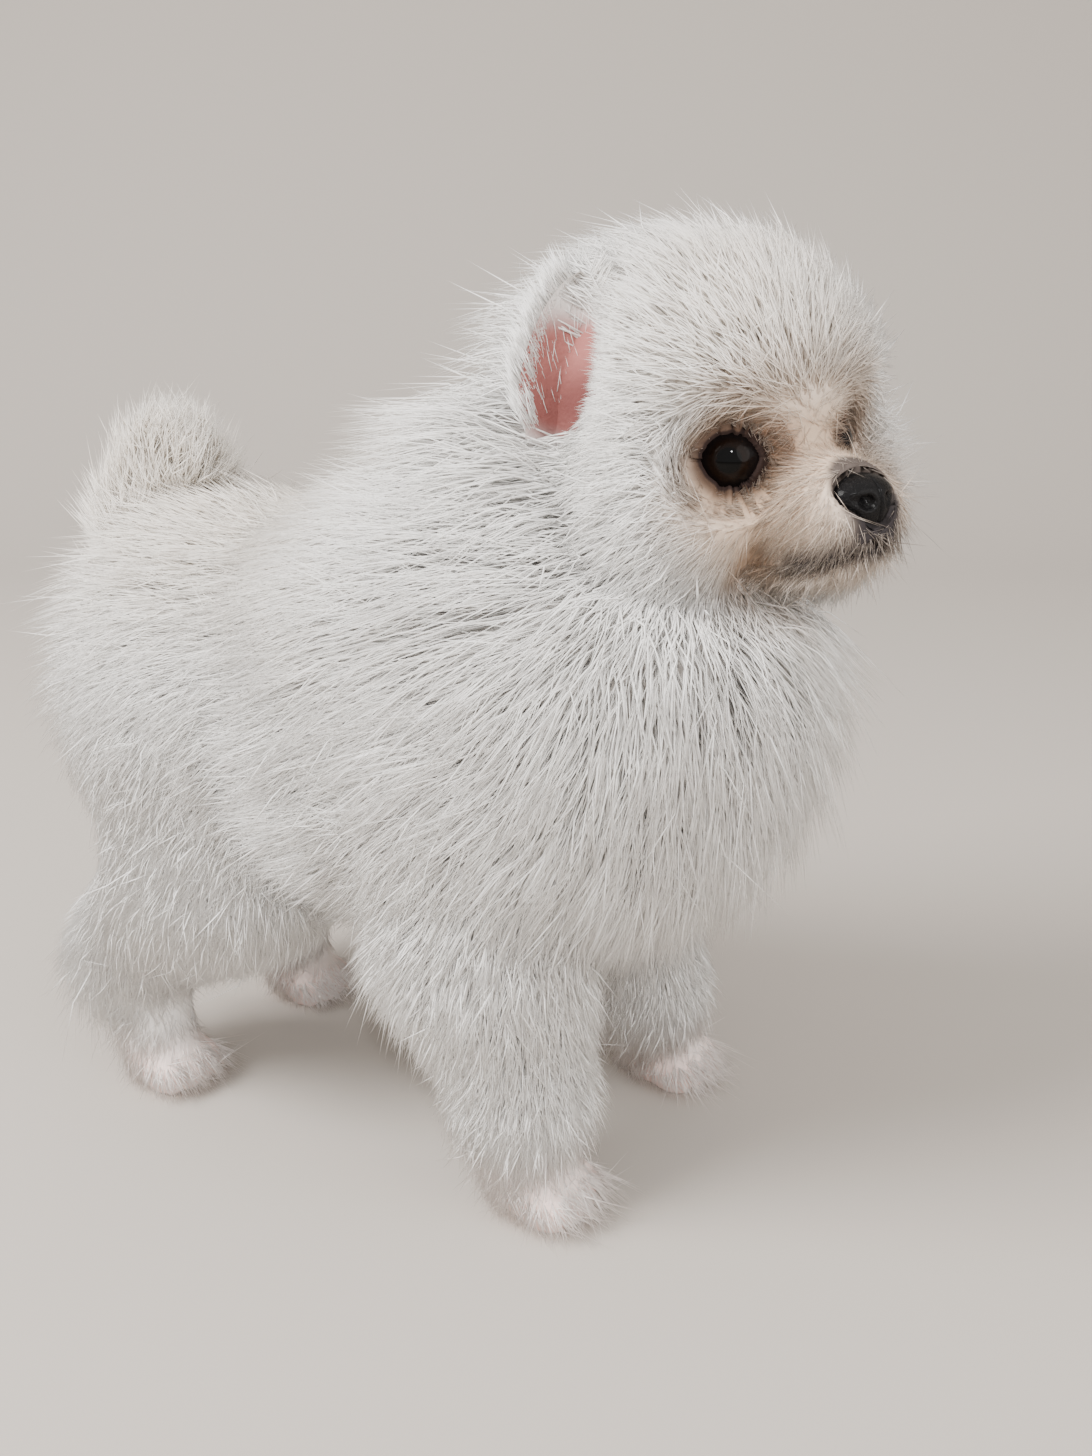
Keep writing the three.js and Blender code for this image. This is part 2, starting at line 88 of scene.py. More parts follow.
HEAD_AT = np.array([91.7, 1.3, 160.3])
HEAD_TURN = turn(-26, -5, 3)
EYE_AT = np.array([-3.0, 11.5, 0.0])
EYE_RADIUS = 7.2


def from_head(q):
    return HEAD_AT + np.atleast_2d(q) @ HEAD_TURN.T


def to_head(p):
    return (p - HEAD_AT) @ HEAD_TURN


def way_from_head(v):
    return np.atleast_2d(v) @ HEAD_TURN.T


def on_side(at, side):
    """Places or ways in the head's frame, given for its left, on the left (1) or the right (-1)."""
    return at * np.array([1, side, 1])


# The frame's right eye says where the model's origin is.
eye_low, eye_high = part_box("eye_right")
eye_middle = (np.array(eye_low) + np.array(eye_high)) / 2 / MM
SHIFT = eye_middle - from_head(on_side(EYE_AT, -1))[0]


def metres(p):
    return (np.asarray(p) + SHIFT) * MM


def clamp(x):
    return np.clip(x, 0.0, 1.0)


def ramp(start, stop, x):
    t = clamp((x - start) / (stop - start))
    return t * t * (3 - 2 * t)


def mix(a, b, t):
    return a + (b - a) * t


def unit(v):
    return v / np.maximum(np.linalg.norm(v, axis=1, keepdims=True), 1e-9)


def ball(at, half):
    at = np.array(at, float)
    half = np.array(half, float)

    def field(p):
        k0 = np.linalg.norm((p - at) / half, axis=1)
        k1 = np.linalg.norm((p - at) / half**2, axis=1)
        return k0 * (k0 - 1) / np.maximum(k1, 1e-9)

    return field


def bone(a, radius_a, b, radius_b):
    a = np.array(a, float)
    along = np.array(b, float) - a

    def field(p):
        t = clamp((p - a) @ along / (along @ along))
        return np.linalg.norm(p - a - t[:, None] * along, axis=1) - mix(radius_a, radius_b, t)

    return field


def soft_min(a, b, soft):
    h = np.maximum(soft - np.abs(a - b), 0) / soft
    return np.minimum(a, b) - h * h * soft / 4


def blend(soft, *fields):
    def field(p):
        value = fields[0](p)
        for other in fields[1:]:
            value = soft_min(value, other(p), soft)
        return value

    return field


def gradient(field, p, step=0.35):
    rises = []
    for axis in np.eye(3) * step:
        rises.append(field(p + axis) - field(p - axis))
    return np.stack(rises, axis=1) / (2 * step)


# The flesh and the depth of the coat on it, for each part of the body.
BACK_HEIGHT = 128
trunk_flesh = blend(
    14,
    ball([12, 0, BACK_HEIGHT - 33], [50, 31, 33]),
    ball([-42, 0, BACK_HEIGHT - 30], [31, 28, 29]),
    ball([46, 0, BACK_HEIGHT - 27], [30, 29, 37]),
)
neck_flesh = blend(8, bone([40, 0, 116], 28, [52, 6, 140], 19), ball([60, 0, 120], [21, 23, 24]))
TAIL_LINE = np.array([[-62, 0, 118], [-68, 0, 133], [-63, 0, 146]])
tail_flesh = blend(4, bone(TAIL_LINE[0], 7, TAIL_LINE[1], 5.5), bone(TAIL_LINE[1], 5.5, TAIL_LINE[2], 4))


def trunk_coat(p):
    chest = 7 * ramp(40, 80, p[:, 0]) * ramp(70, 100, p[:, 2])
    return 21 + chest - 3 * ramp(75, 55, p[:, 2])


def neck_coat(p):
    throat = ramp(122, 146, p[:, 2]) * ramp(34, 60, p[:, 0])
    return mix(27, 14, throat) + 3 * ramp(50, 20, p[:, 0])


def tail_coat(p):
    return np.full(len(p), 11.0)


def fore_joints(side, x, y):
    """A foreleg's joints down to its paw, each with the leg's radius there."""
    return [
        ([42, side * 20, 92], 15),
        ([40, side * 26, 58], 11),
        ([x - 6, y - side * 2, 22], 7.5),
        ([x - 3, y, 9], 7),
    ]


def hind_joints(side, x, y):
    return [
        ([-36, side * 19, 88], 20),
        ([-32, side * 24, 60], 15),
        ([x - 9, y, 31], 7.5),
        ([x - 3, y, 9], 6.5),
    ]


def leg_flesh(joints):
    return blend(8, *[bone(*a, *b) for a, b in zip(joints, joints[1:])])


def fore_coat(p):
    return mix(4.5, 15, ramp(6, 62, p[:, 2]))


def hind_coat(p):
    return mix(4.5, 17, ramp(8, 60, p[:, 2]))


# The head, in its own frame: the origin midway between the eyes, x towards the nose.
head_shape = blend(
    6,
    ball([-24, 0, 6], [27, 25, 23]),
    ball([-8, 0, 9], [17, 20, 13]),
    ball([-10, 17, -9], [16, 10, 13]),
    ball([-10, -17, -9], [16, 10, 13]),
    ball([4, 0, -9], [18, 12, 9.5]),
    ball([12.5, 4.6, -12.5], [9, 6, 6]),
    ball([12.5, -4.6, -12.5], [9, 6, 6]),
    ball([5, 0, -18.5], [14, 8.5, 6]),
)
MUZZLE_AT = [16, 0, -6]

# The left ear's foot, the way it stands and the way it opens. Its cup is wide along EAR_WIDE.
EAR_FOOT = np.array([-30.0, 31.0, 6.0])
EAR_WAY = unit(np.array([[0.03, -0.12, 0.99]]))[0]
EAR_OPEN = unit(np.array([[0.74, 0.67, 0.1]]))[0]
EAR_TALL = 32
EAR_WIDE = unit(np.cross(EAR_OPEN, EAR_WAY)[None])[0]
EAR_FACE = np.cross(EAR_WIDE, -EAR_WAY)


def near_side(q):
    """The same places on the head's left half."""
    return q * [1, 0, 1] + np.abs(q[:, 1:2]) * [0, 1, 0]


BARE_FACE = 0.6


def head_coat(q):
    foot = near_side(q) - EAR_FOOT
    beside = foot - (foot @ EAR_WAY)[:, None] * EAR_WAY
    in_front = ramp(-8, 3, beside @ EAR_OPEN)
    short = mix(1, mix(0.3, 1, ramp(9, 22, np.linalg.norm(beside, axis=1))), in_front)
    from_muzzle = np.linalg.norm(q - MUZZLE_AT, axis=1)
    return BARE_FACE + 16 * short * ramp(18, 50, from_muzzle)


NOSE_AT = np.array([18.7, 0.0, -8.0])
nose_shape = blend(2.5, ball(NOSE_AT, [5.2, 6.9, 4.2]), ball([19.9, 0, -10.8], [3.6, 3.9, 3.6]))

# Each eye lies under two lids, which part in an almond that looks out and forward.
LOOK = unit(np.array([[0.743, 0.669, 0.04]]))[0]
LID_ACROSS = unit(np.cross([0, 0, 1], LOOK)[None])[0]
LID_UP = np.cross(LOOK, LID_ACROSS)


LID_WIDE = 6.3
LID_TALL = 5.7
LID_THICK = 0.75
SHUT = 9.0


def eye_place(q):
    """Places from the nearer eye's middle: across it, up it and out along its look."""
    out = near_side(q) - EYE_AT
    return np.stack([out @ LID_ACROSS, out @ LID_UP, out @ LOOK], axis=1)


def lid_opening(place):
    """Below nought within the almond between the lids."""
    across = np.abs(place[:, 0]) / LID_WIDE
    arch = LID_TALL * np.maximum(1 - across**2.2, 0) ** 0.8
    almond = np.maximum(np.abs(place[:, 1]) - arch, (across - 1) * LID_WIDE)
    return np.where(place[:, 2] > 2, almond, SHUT)


# The mouth's line: its depth below the eyes, its drop to the corners, and its half width.
MOUTH_DOWN = 16.4
MOUTH_DROP = 5.5
MOUTH_HALF = 13.5


def mouth_height(q):
    return -MOUTH_DOWN - MOUTH_DROP * ramp(0, MOUTH_HALF, np.abs(q[:, 1]))


def head_field(q):
    """The head's skin: the skull, the lids over the eyes, the lips, the cleft and the nose's seat."""
    skull = head_shape(q) - SHARE * head_coat(q) - 0.3
    place = eye_place(q)
    lid_ball = np.linalg.norm(place, axis=1) - EYE_RADIUS - LID_THICK
    aside = np.linalg.norm(place[:, :2], axis=1)
    socket = ramp(12.5, 7.0, aside) * ramp(-3, 2, place[:, 2])
    value = mix(soft_min(skull, lid_ball, 1.6), lid_ball, socket)
    from_line = np.abs(q[:, 2] - mouth_height(q))
    muzzle = ramp(-2, 6, q[:, 0]) * ramp(15.5, 12.5, np.abs(q[:, 1]))
    lips = 0.5 * muzzle * np.exp(-((from_line - 1.6) ** 2) / 0.9)
    line = 1.3 * muzzle * np.exp(-(from_line**2) / 0.3)
    cleft = np.exp(-(q[:, 1] ** 2) / 0.16) * ramp(15, 19, q[:, 0]) * ramp(-6, -9, q[:, 2])
    return value - lips + line + 0.8 * cleft + 2.2 * ramp(1.4, -0.6, nose_shape(q))


# Where each paw stands, and the half sizes of its ball.
FORE_PAW = [10.5, 9, 8]
HIND_PAW = [10, 8.5, 7.5]
PAWS = {
    "forepaw_left": (58, 33, FORE_PAW),
    "forepaw_right": (56, -30, FORE_PAW),
    "hindpaw_left": (-50, 25, HIND_PAW),
    "hindpaw_right": (-52, -28, HIND_PAW),
}


def toe_places(x, y, half):
    """The middles of a paw's four toes, in an arc across its front."""
    places = []
    for k in (-1.5, -0.5, 0.5, 1.5):
        ahead = x + half[0] * 0.66 - abs(k) * 1.6
        aside = y + k * (half[1] * 0.5 + 0.3)
        places.append(np.array([ahead, aside, 4.0]))
    return places


def paw_field(x, y, half):
    toes = [ball(at, [5.4, 2.7, 4.6]) for at in toe_places(x, y, half)]
    shape = blend(2.2, ball([x, y, 5.6], half), *toes)
    return lambda p: np.maximum(shape(p), 0.15 - p[:, 2])


LEGS = {
    "foreleg_left": (fore_joints(1, *PAWS["forepaw_left"][:2]), fore_coat),
    "foreleg_right": (fore_joints(-1, *PAWS["forepaw_right"][:2]), fore_coat),
    "hindleg_left": (hind_joints(1, *PAWS["hindpaw_left"][:2]), hind_coat),
    "hindleg_right": (hind_joints(-1, *PAWS["hindpaw_right"][:2]), hind_coat),
}


def skin_part(flesh, coat):
    return lambda p: flesh(p) - SHARE * coat(p)


def head_part(p):
    return head_field(to_head(p))


parts = {
    "torso": skin_part(trunk_flesh, trunk_coat),
    "neck": skin_part(neck_flesh, neck_coat),
    "tail": skin_part(tail_flesh, tail_coat),
    "head": head_part,
}
for name, (joints, coat) in LEGS.items():
    parts[name] = skin_part(leg_flesh(joints), coat)
for name, place in PAWS.items():
    parts[name] = paw_field(*place)


def skin_field(p):
    """Nought on the skin. The legs run softly into the trunk, and the paws and head less softly."""
    value = parts["torso"](p)
    for name in ("neck", "tail", *LEGS):
        value = soft_min(value, parts[name](p), 9)
    for name in PAWS:
        value = soft_min(value, parts[name](p), 2.5)
    return soft_min(value, parts["head"](p), 5)


def join(pieces):
    """Joins pieces into the first of them."""
    with bpy.context.temp_override(active_object=pieces[0], selected_editable_objects=pieces):
        bpy.ops.object.join()


def remesh(piece, voxel):
    piece.data.remesh_voxel_size = voxel * MM
    with bpy.context.temp_override(active_object=piece, object=piece):
        bpy.ops.object.voxel_remesh()


def shade_smooth(piece):
    piece.data.polygons.foreach_set("use_smooth", [True] * len(piece.data.polygons))


def add_object(name, data):
    made = bpy.data.objects.new(name, data)
    bpy.context.collection.objects.link(made)
    return made


def rough_ball(at, half, basis=None):
    """A ball that only seeds the remesh, before the skin is drawn to its true place."""
    bpy.ops.mesh.primitive_ico_sphere_add(subdivisions=4, radius=1)
    made = bpy.context.object
    stretch = Matrix.Diagonal((*[h * MM for h in half], 1))
    spin = Matrix(basis).to_4x4() if basis is not None else Matrix.Identity(4)
    made.data.transform(Matrix.Translation(metres(at)) @ spin @ stretch)
    return made


def rough_bone(a, radius_a, b, radius_b, extra):
    """Rough balls along a bone, each larger than the flesh by extra."""
    for t in np.linspace(0, 1, 6):
        rough_ball(mix(np.array(a, float), np.array(b, float), t), [mix(radius_a, radius_b, t) + extra] * 3)


before = set(bpy.data.objects)
rough_ball([12, 0, 95], [60, 41, 43])
rough_ball([-42, 0, 98], [41, 38, 39])
rough_ball([46, 0, 101], [42, 41, 48])
rough_ball([60, 0, 120], [33, 35, 36])
rough_bone([40, 0, 116], 28, [52, 6, 140], 19, 12)
rough_bone(TAIL_LINE[0], 7, TAIL_LINE[1], 5.5, 5.5)
rough_bone(TAIL_LINE[1], 5.5, TAIL_LINE[2], 4, 5.5)
for joints, coat in LEGS.values():
    for (a, radius_a), (b, radius_b) in zip(joints, joints[1:]):
        rough_bone(a, radius_a, b, radius_b, 5)
for x, y, half in PAWS.values():
    rough_ball([x + 2, y, 6], [half[0] + 2, half[1] + 1.5, half[2] - 1])
for at, half in [
    ([-24, 0, 6], [34, 32, 30]),
    ([-8, 0, 7], [20, 24, 17]),
    ([-10, 16, -9], [19, 14, 16]),
    ([-10, -16, -9], [19, 14, 16]),
    ([5, 0, -11], [19, 13, 12]),
    ([12, 0, -13], [10, 10, 8]),
]:
    rough_ball(from_head(at)[0], half, HEAD_TURN)
seeds = [o for o in bpy.data.objects if o not in before]
join(seeds)
skin = seeds[0]
skin.name = "skin"
remesh(skin, 1.35)


def read_points(mesh):
    flat = np.empty(len(mesh.vertices) * 3)
    mesh.vertices.foreach_get("co", flat)
    return flat.reshape(-1, 3) / MM - SHIFT


def write_points(mesh, p):
    mesh.vertices.foreach_set("co", metres(p).ravel())
    mesh.update()


def draw_to(field, p, rounds):
    """Takes points to where the field is nought, in short steps along its gradient."""
    for _ in range(rounds):
        slope = gradient(field, p)
        step = field(p) / np.maximum((slope * slope).sum(axis=1), 0.25)
        p = p - slope * np.clip(step, -2.0, 2.0)[:, None]
    return p


def near_edges(mesh, close):
    """The edges with both ends where close() is true."""
    ends = np.empty(len(mesh.edges) * 2, dtype=np.int64)
    mesh.edges.foreach_get("vertices", ends)
    return close(read_points(mesh))[ends.reshape(-1, 2)].all(axis=1)


def in_face(p):
    return np.linalg.norm((to_head(p) - [9, 0, -7]) / [24, 24, 20], axis=1) < 1


def at_toes(p):
    close = np.zeros(len(p), bool)
    for x, y, half in PAWS.values():
        close |= (np.linalg.norm(p[:, :2] - [x + 3, y], axis=1) < 14) & (p[:, 2] < 13)
    return close


def split_edges(mesh, close):
    """Halves the edges where close() is true, for a finer mesh there."""
    chosen = near_edges(mesh, close)
    work = bmesh.new()
    work.from_mesh(mesh)
    work.edges.ensure_lookup_table()
    edges = [work.edges[i] for i in np.flatnonzero(chosen)]
    bmesh.ops.subdivide_edges(work, edges=edges, cuts=1, use_grid_fill=True)
    bmesh.ops.triangulate(work, faces=work.faces)
    work.to_mesh(mesh)
    work.free()


write_points(skin.data, draw_to(skin_field, read_points(skin.data), 6))
split_edges(skin.data, lambda p: in_face(p) | at_toes(p))
write_points(skin.data, draw_to(skin_field, read_points(skin.data), 5))


def almond_at(p):
    return lid_opening(eye_place(to_head(p)))


def around_eyes(p):
    return np.abs(almond_at(p)) < 2.2


split_edges(skin.data, around_eyes)
write_points(skin.data, draw_to(skin_field, read_points(skin.data), 3))


def part_lids(mesh):
    """Opens the lids: the skin inside the almond goes, and its rim turns in to the eyeball."""
    work = bmesh.new()
    work.from_mesh(mesh)
    middles = np.array([face.calc_center_median() for face in work.faces]) / MM - SHIFT
    open_faces = almond_at(middles) < 0
    doomed = [face for face, gone in zip(work.faces, open_faces) if gone]
    bmesh.ops.delete(work, geom=doomed, context="FACES")
    rim = [edge for edge in work.edges if edge.is_boundary]
    corners = list({corner for edge in rim for corner in edge.verts})
    places = np.array([corner.co for corner in corners]) / MM - SHIFT
    for _ in range(4):
        slope = gradient(almond_at, places, 0.1)
        step = almond_at(places) / np.maximum((slope**2).sum(axis=1), 0.3)
        places = places - slope * np.clip(step, -0.6, 0.6)[:, None]
    for corner, place in zip(corners, metres(places)):
        corner.co = place
    made = bmesh.ops.extrude_edge_only(work, edges=rim)
    inner = [item for item in made["geom"] if isinstance(item, bmesh.types.BMVert)]
    places = np.array([corner.co for corner in inner]) / MM - SHIFT
    q = to_head(places)
    ones = np.ones(len(q))
    middle = EYE_AT * np.stack([ones, np.sign(q[:, 1]), ones], axis=1)
    q = middle + unit(q - middle) * (EYE_RADIUS - 0.2)
    for corner, place in zip(inner, metres(from_head(q))):
        corner.co = place
    work.to_mesh(mesh)
    work.free()


part_lids(skin.data)


# The ears. Each is a small, upright cup of thin skin over cartilage, pink inside, with its edges
# curled forward. It grows out of the side of the skull, so its sheets are joined to the skin.
EAR_HALF = 11.0
EAR_THICK = 1.3
EAR_ASIDE = 3.0
ROWS = 26
ACROSS = 22


def ear_leaf(u, v, back):
    """A place on the left ear: u across it from edge to edge, v up it, on its front or its back."""
    wide = EAR_HALF * (1 - v**2.6) ** 0.72 * mix(0.8, 1, ramp(0, 0.3, v))
    curl = np.abs(u) ** 2 * mix(8.0, 2.5, v)
    deep = curl - 3.0 - back * EAR_THICK * np.sqrt(1 - u**2) - 3 * v**2
    across = u * wide + EAR_ASIDE
    axis = EAR_FOOT + np.outer(v * EAR_TALL, EAR_WAY)
    return axis + np.outer(across, EAR_WIDE) + np.outer(deep, EAR_FACE)


def ear_mesh(side):
    """A leaf of skin, as a front and a back sheet that meet round the edge."""
    grids = np.meshgrid(np.linspace(0, 1, ROWS), np.linspace(-1, 1, ACROSS), indexing="ij")
    v, u = [grid.ravel() for grid in grids]
    points = from_head(on_side(np.concatenate([ear_leaf(u, v, 0), ear_leaf(u, v, 1)]), side))
    faces = []
    half = ROWS * ACROSS
    for row in range(ROWS - 1):
        for i in range(ACROSS - 1):
            a = row * ACROSS + i
            quad = (a, a + 1, a + ACROSS + 1, a + ACROSS)
            faces.append(quad)
            faces.append(tuple(half + k for k in reversed(quad)))
    mesh = bpy.data.meshes.new("ear")
    mesh.from_pydata(metres(points).tolist(), [], faces)
    return add_object("ear", mesh)


SKIN_FACES = len(skin.data.polygons)
join([skin, ear_mesh(1), ear_mesh(-1)])
shade_smooth(skin)
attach(skin, "root")
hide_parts("torso", "neck", "tail", "head", "ear_left", "ear_right", *LEGS, *PAWS)

# Colours. One hand lays the same markings on the skin and on every hair: white on the body, cream on
# the back and tail, tan on the face, with stains at the eyes and the mouth and grey at the lips.
WHITE = (0.97, 0.96, 0.94)
CREAM = (0.85, 0.74, 0.60)
TAN = (0.60, 0.42, 0.28)
RUST = (0.24, 0.10, 0.05)
SMOKE = (0.04, 0.034, 0.036)
PINK = (0.36, 0.135, 0.12)
UNDERFUR = (0.90, 0.87, 0.84)
CROWN = (0.80, 0.68, 0.55)
BROW = (0.52, 0.38, 0.28)
SOCKET = (0.40, 0.245, 0.15)
LID = (0.055, 0.028, 0.018)
LID_RIM = (0.03, 0.018, 0.016)
MOUTH_CORNER = (0.42, 0.25, 0.14)
MOUTH_LINE = (0.035, 0.025, 0.024)
FEET = (0.80, 0.60, 0.53)
SOLES = (0.86, 0.62, 0.56)
# Painted shade: a dark red-brown that stands for the shade deep in each ear's canal.
EAR_CANAL_SHADE = (0.12, 0.035, 0.032)
STRAND_SHADE = (0.52, 0.44, 0.37)


class Wire:
    """A socket of a material's node tree that can be used in sums."""

    def __init__(self, paint, socket):
        self.paint = paint
        self.socket = socket

    def sum(self, how, a, b):
        return self.paint.node("Math", {"operation": how}, [a, b])

    def __add__(self, other):
        return self.sum("ADD", self, other)

    def __radd__(self, other):
        return self.sum("ADD", other, self)

    def __rsub__(self, other):
        return self.sum("SUBTRACT", other, self)

    def __mul__(self, other):
        return self.sum("MULTIPLY", self, other)

    def __rmul__(self, other):
        return self.sum("MULTIPLY", other, self)


class Paint:
    """One material, made by adding nodes."""

    def __init__(self, name, roughness, **constants):
        self.material = bpy.data.materials.new(name)
        self.material.use_nodes = True
        self.tree = self.material.node_tree
        self.shader = self.tree.nodes["Principled BSDF"]
        self.shader.inputs["Roughness"].default_value = roughness
        for key, value in constants.items():
            self.shader.inputs[key.replace("_", " ")].default_value = value

    def node(self, kind, settings, sockets, out=0):
        """Adds a node: its type, its settings, and the values or wires of its sockets."""
        made = self.tree.nodes.new("ShaderNode" + kind)
        for key, value in settings.items():
            setattr(made, key, value)
        pairs = sockets.items() if isinstance(sockets, dict) else enumerate(sockets)
        for key, value in pairs:
            if isinstance(value, Wire):
                self.tree.links.new(value.socket, made.inputs[key])
            elif value is not None:
                made.inputs[key].default_value = value
        return Wire(self, made.outputs[out])

    def place(self):
        return self.node("TexCoord", {}, [], out=3)

    def blend(self, mask, under, over):
        colours = [(*c, 1) if isinstance(c, tuple) else c for c in (under, over)]
        return self.node("Mix", {"data_type": "RGBA"}, {0: mask, 6: colours[0], 7: colours[1]}, out=2)

    def noise(self, place, scale, detail, stretch=(1, 1, 1)):
        spot = self.node("Mapping", {}, {0: place, 3: stretch})
        return self.node("TexNoise", {}, {"Vector": spot, "Scale": scale, "Detail": detail})

    def ease(self, value, start, stop):
        """From 0 at start to 1 at stop, smoothly."""
        return self.node("MapRange", {"interpolation_type": "SMOOTHSTEP"}, [value, start, stop, 0.0, 1.0])

    def near(self, place, spot, inner, outer, stretch=(1, 1, 1)):
        """1 within inner of a spot and 0 beyond outer, in millimetres, with the spot's ball stretched."""
        centre = metres(spot)
        off = self.node("VectorMath", {"operation": "SUBTRACT"}, [place, tuple(centre)])
        off = self.node("VectorMath", {"operation": "MULTIPLY"}, [off, stretch])
        far = self.node("VectorMath", {"operation": "LENGTH"}, [off], out=1)
        return self.ease(far, outer * MM, inner * MM)

    def head_place(self, place):
        """The place along the head's own three axes, in millimetres from its origin."""
        off = self.node("VectorMath", {"operation": "SUBTRACT"}, [place, tuple(metres(HEAD_AT))])
        axes = [tuple(axis / MM) for axis in HEAD_TURN.T]
        return [self.node("VectorMath", {"operation": "DOT_PRODUCT"}, [off, axis], out=1) for axis in axes]

    def colour(self, wire):
        self.tree.links.new(wire.socket, self.shader.inputs["Base Color"])

    def rough(self, wire):
        self.tree.links.new(wire.socket, self.shader.inputs["Roughness"])

    def bump(self, height, strength, depth):
        made = self.node("Bump", {}, {"Strength": strength, "Distance": depth, "Height": height})
        self.tree.links.new(made.socket, self.shader.inputs["Normal"])


def head_spot(x, y, z):
    return from_head([x, y, z])[0]


def markings(paint, place, base, fleck):
    """The coat's colours by place on the body. Fleck is a noise that is even along each hair."""
    patch = paint.noise(place, 60, 3)
    high = paint.node("SeparateXYZ", {}, [place], out=2)
    back = paint.node("SeparateXYZ", {}, [place], out=0)
    saddle = paint.ease(high, 0.105, 0.15) * paint.ease(back, metres([30, 0, 0])[0], metres([-25, 0, 0])[0])
    rump = paint.near(place, [-92, 0, 105], 18, 52)
    cream = paint.node("Math", {"operation": "MAXIMUM"}, [saddle * 0.5, rump * 0.6])
    tone = paint.blend(cream * (0.55 + 0.7 * patch), base, CREAM)
    crown = paint.near(place, head_spot(-6, 0, 22), 14, 40)
    tone = paint.blend(crown * 0.4 * (0.5 + patch), tone, CROWN)
    x, y, z = paint.head_place(place)
    wide = paint.node("Math", {"operation": "ABSOLUTE"}, [y])
    mouth = z + MOUTH_DOWN + MOUTH_DROP * paint.ease(wide, 0, MOUTH_HALF)
    off = paint.node("Math", {"operation": "ABSOLUTE"}, [mouth])
    face = paint.near(place, head_spot(12, 0, -7), 12, 34)
    tone = paint.blend(face * 0.62, tone, TAN)
    for side in (1, -1):
        cheek = paint.near(place, head_spot(4, side * 15, -9), 6, 24, (1, 1, 1.25))
        tone = paint.blend(cheek * 0.65, tone, TAN)
        brow = paint.near(place, head_spot(3, side * 13, 9), 3, 15)
        tone = paint.blend(brow * 0.5, tone, BROW)
    bridge = paint.near(place, head_spot(10, 0, -3), 6, 15)
    tone = paint.blend(bridge * 0.5, tone, TAN)
    for side in (1, -1):
        stain = paint.near(place, head_spot(6.5, side * 10.5, 1.5), 2.6, 8.5)
        tone = paint.blend(stain * (0.5 + 0.5 * patch), tone, RUST)
        eye_spot = head_spot(*(on_side(EYE_AT, side) + on_side(LOOK, side) * 4))
        round_eye = paint.near(place, eye_spot, 7.5, 14)
        tone = paint.blend(round_eye * 0.55, tone, SOCKET)
        lid = paint.near(place, eye_spot, 6.2, 9.6)
        tone = paint.blend(lid * 0.88, tone, LID)
        corner = paint.near(place, head_spot(3.5, side * 14, -21.5), 2, 8)
        tone = paint.blend(corner * 0.7, tone, MOUTH_CORNER)
    lip = paint.ease(mouth, 9.5, 1.0) * paint.ease(mouth, -2.2, -0.6) * paint.ease(x, 3, 13)
    under_nose = paint.near(place, head_spot(20, 0, -13.5), 5, 10.5)
    grey = paint.node("Math", {"operation": "MAXIMUM"}, [lip, under_nose])
    tone = paint.blend(grey * paint.ease(fleck, 0.5 - 0.32 * grey, 0.56 - 0.3 * grey), tone, SMOKE)
    beside_nose = paint.near(place, head_spot(*NOSE_AT), 7.2, 8.8)
    tone = paint.blend(beside_nose * 0.9, tone, SMOKE)
    feet = paint.ease(high, 0.022, 0.006)
    tone = paint.blend(feet * 0.3, tone, FEET)
    line = paint.ease(off, 1.3, 0.5) * paint.ease(x, 1, 12) * paint.ease(wide, 14.5, 11)
    return paint.blend(line * 0.92, tone, MOUTH_LINE)


skin_paint = Paint("skin_and_underfur", 0.85, Specular_IOR_Level=0.2)
place = skin_paint.place()
fleck = skin_paint.noise(place, 900, 2)
tone = markings(skin_paint, place, UNDERFUR, fleck)
for side in (1, -1):
    cup_middle = EAR_FOOT + EAR_WAY * 12 + EAR_FACE * 2 + EAR_WIDE * EAR_ASIDE
    cup = skin_paint.near(place, head_spot(*on_side(cup_middle, side)), 10, 17)
    tone = skin_paint.blend(cup, tone, PINK)
    # Painted shade: a dark spot low in each ear's cup, where the canal's hollow would lie in shade; the
    # skin has no hole there.
    canal_shade = skin_paint.near(place, head_spot(*on_side(cup_middle - EAR_WAY * 5, side)), 2, 11)
    tone = skin_paint.blend(canal_shade * 0.8, tone, EAR_CANAL_SHADE)
    rim = skin_paint.near(place, head_spot(*on_side(EYE_AT, side)), 7.9, 8.7)
    tone = skin_paint.blend(rim * 0.95, tone, LID_RIM)
low = skin_paint.node("SeparateXYZ", {}, [place], out=2)
tone = skin_paint.blend(skin_paint.ease(low, 0.014, 0.004) * 0.8, tone, SOLES)
skin_paint.colour(tone)
skin_paint.bump(fleck, 0.5, 0.0006)
skin.data.materials.clear()
skin.data.materials.append(skin_paint.material)


# The eyes. Each is a wet, nearly black ball of living tissue, with a clear dome over its dark iris.
# It sits in its socket in the skull, where the two lids close round it and hold it.
def sphere(name, at, radius):
    bpy.ops.mesh.primitive_uv_sphere_add(segments=96, ring_count=64, radius=radius * MM, location=(0, 0, 0))
    made = bpy.context.object
    made.name = name
    made.data.transform(Matrix.Translation(metres(at)))
    shade_smooth(made)
    return made


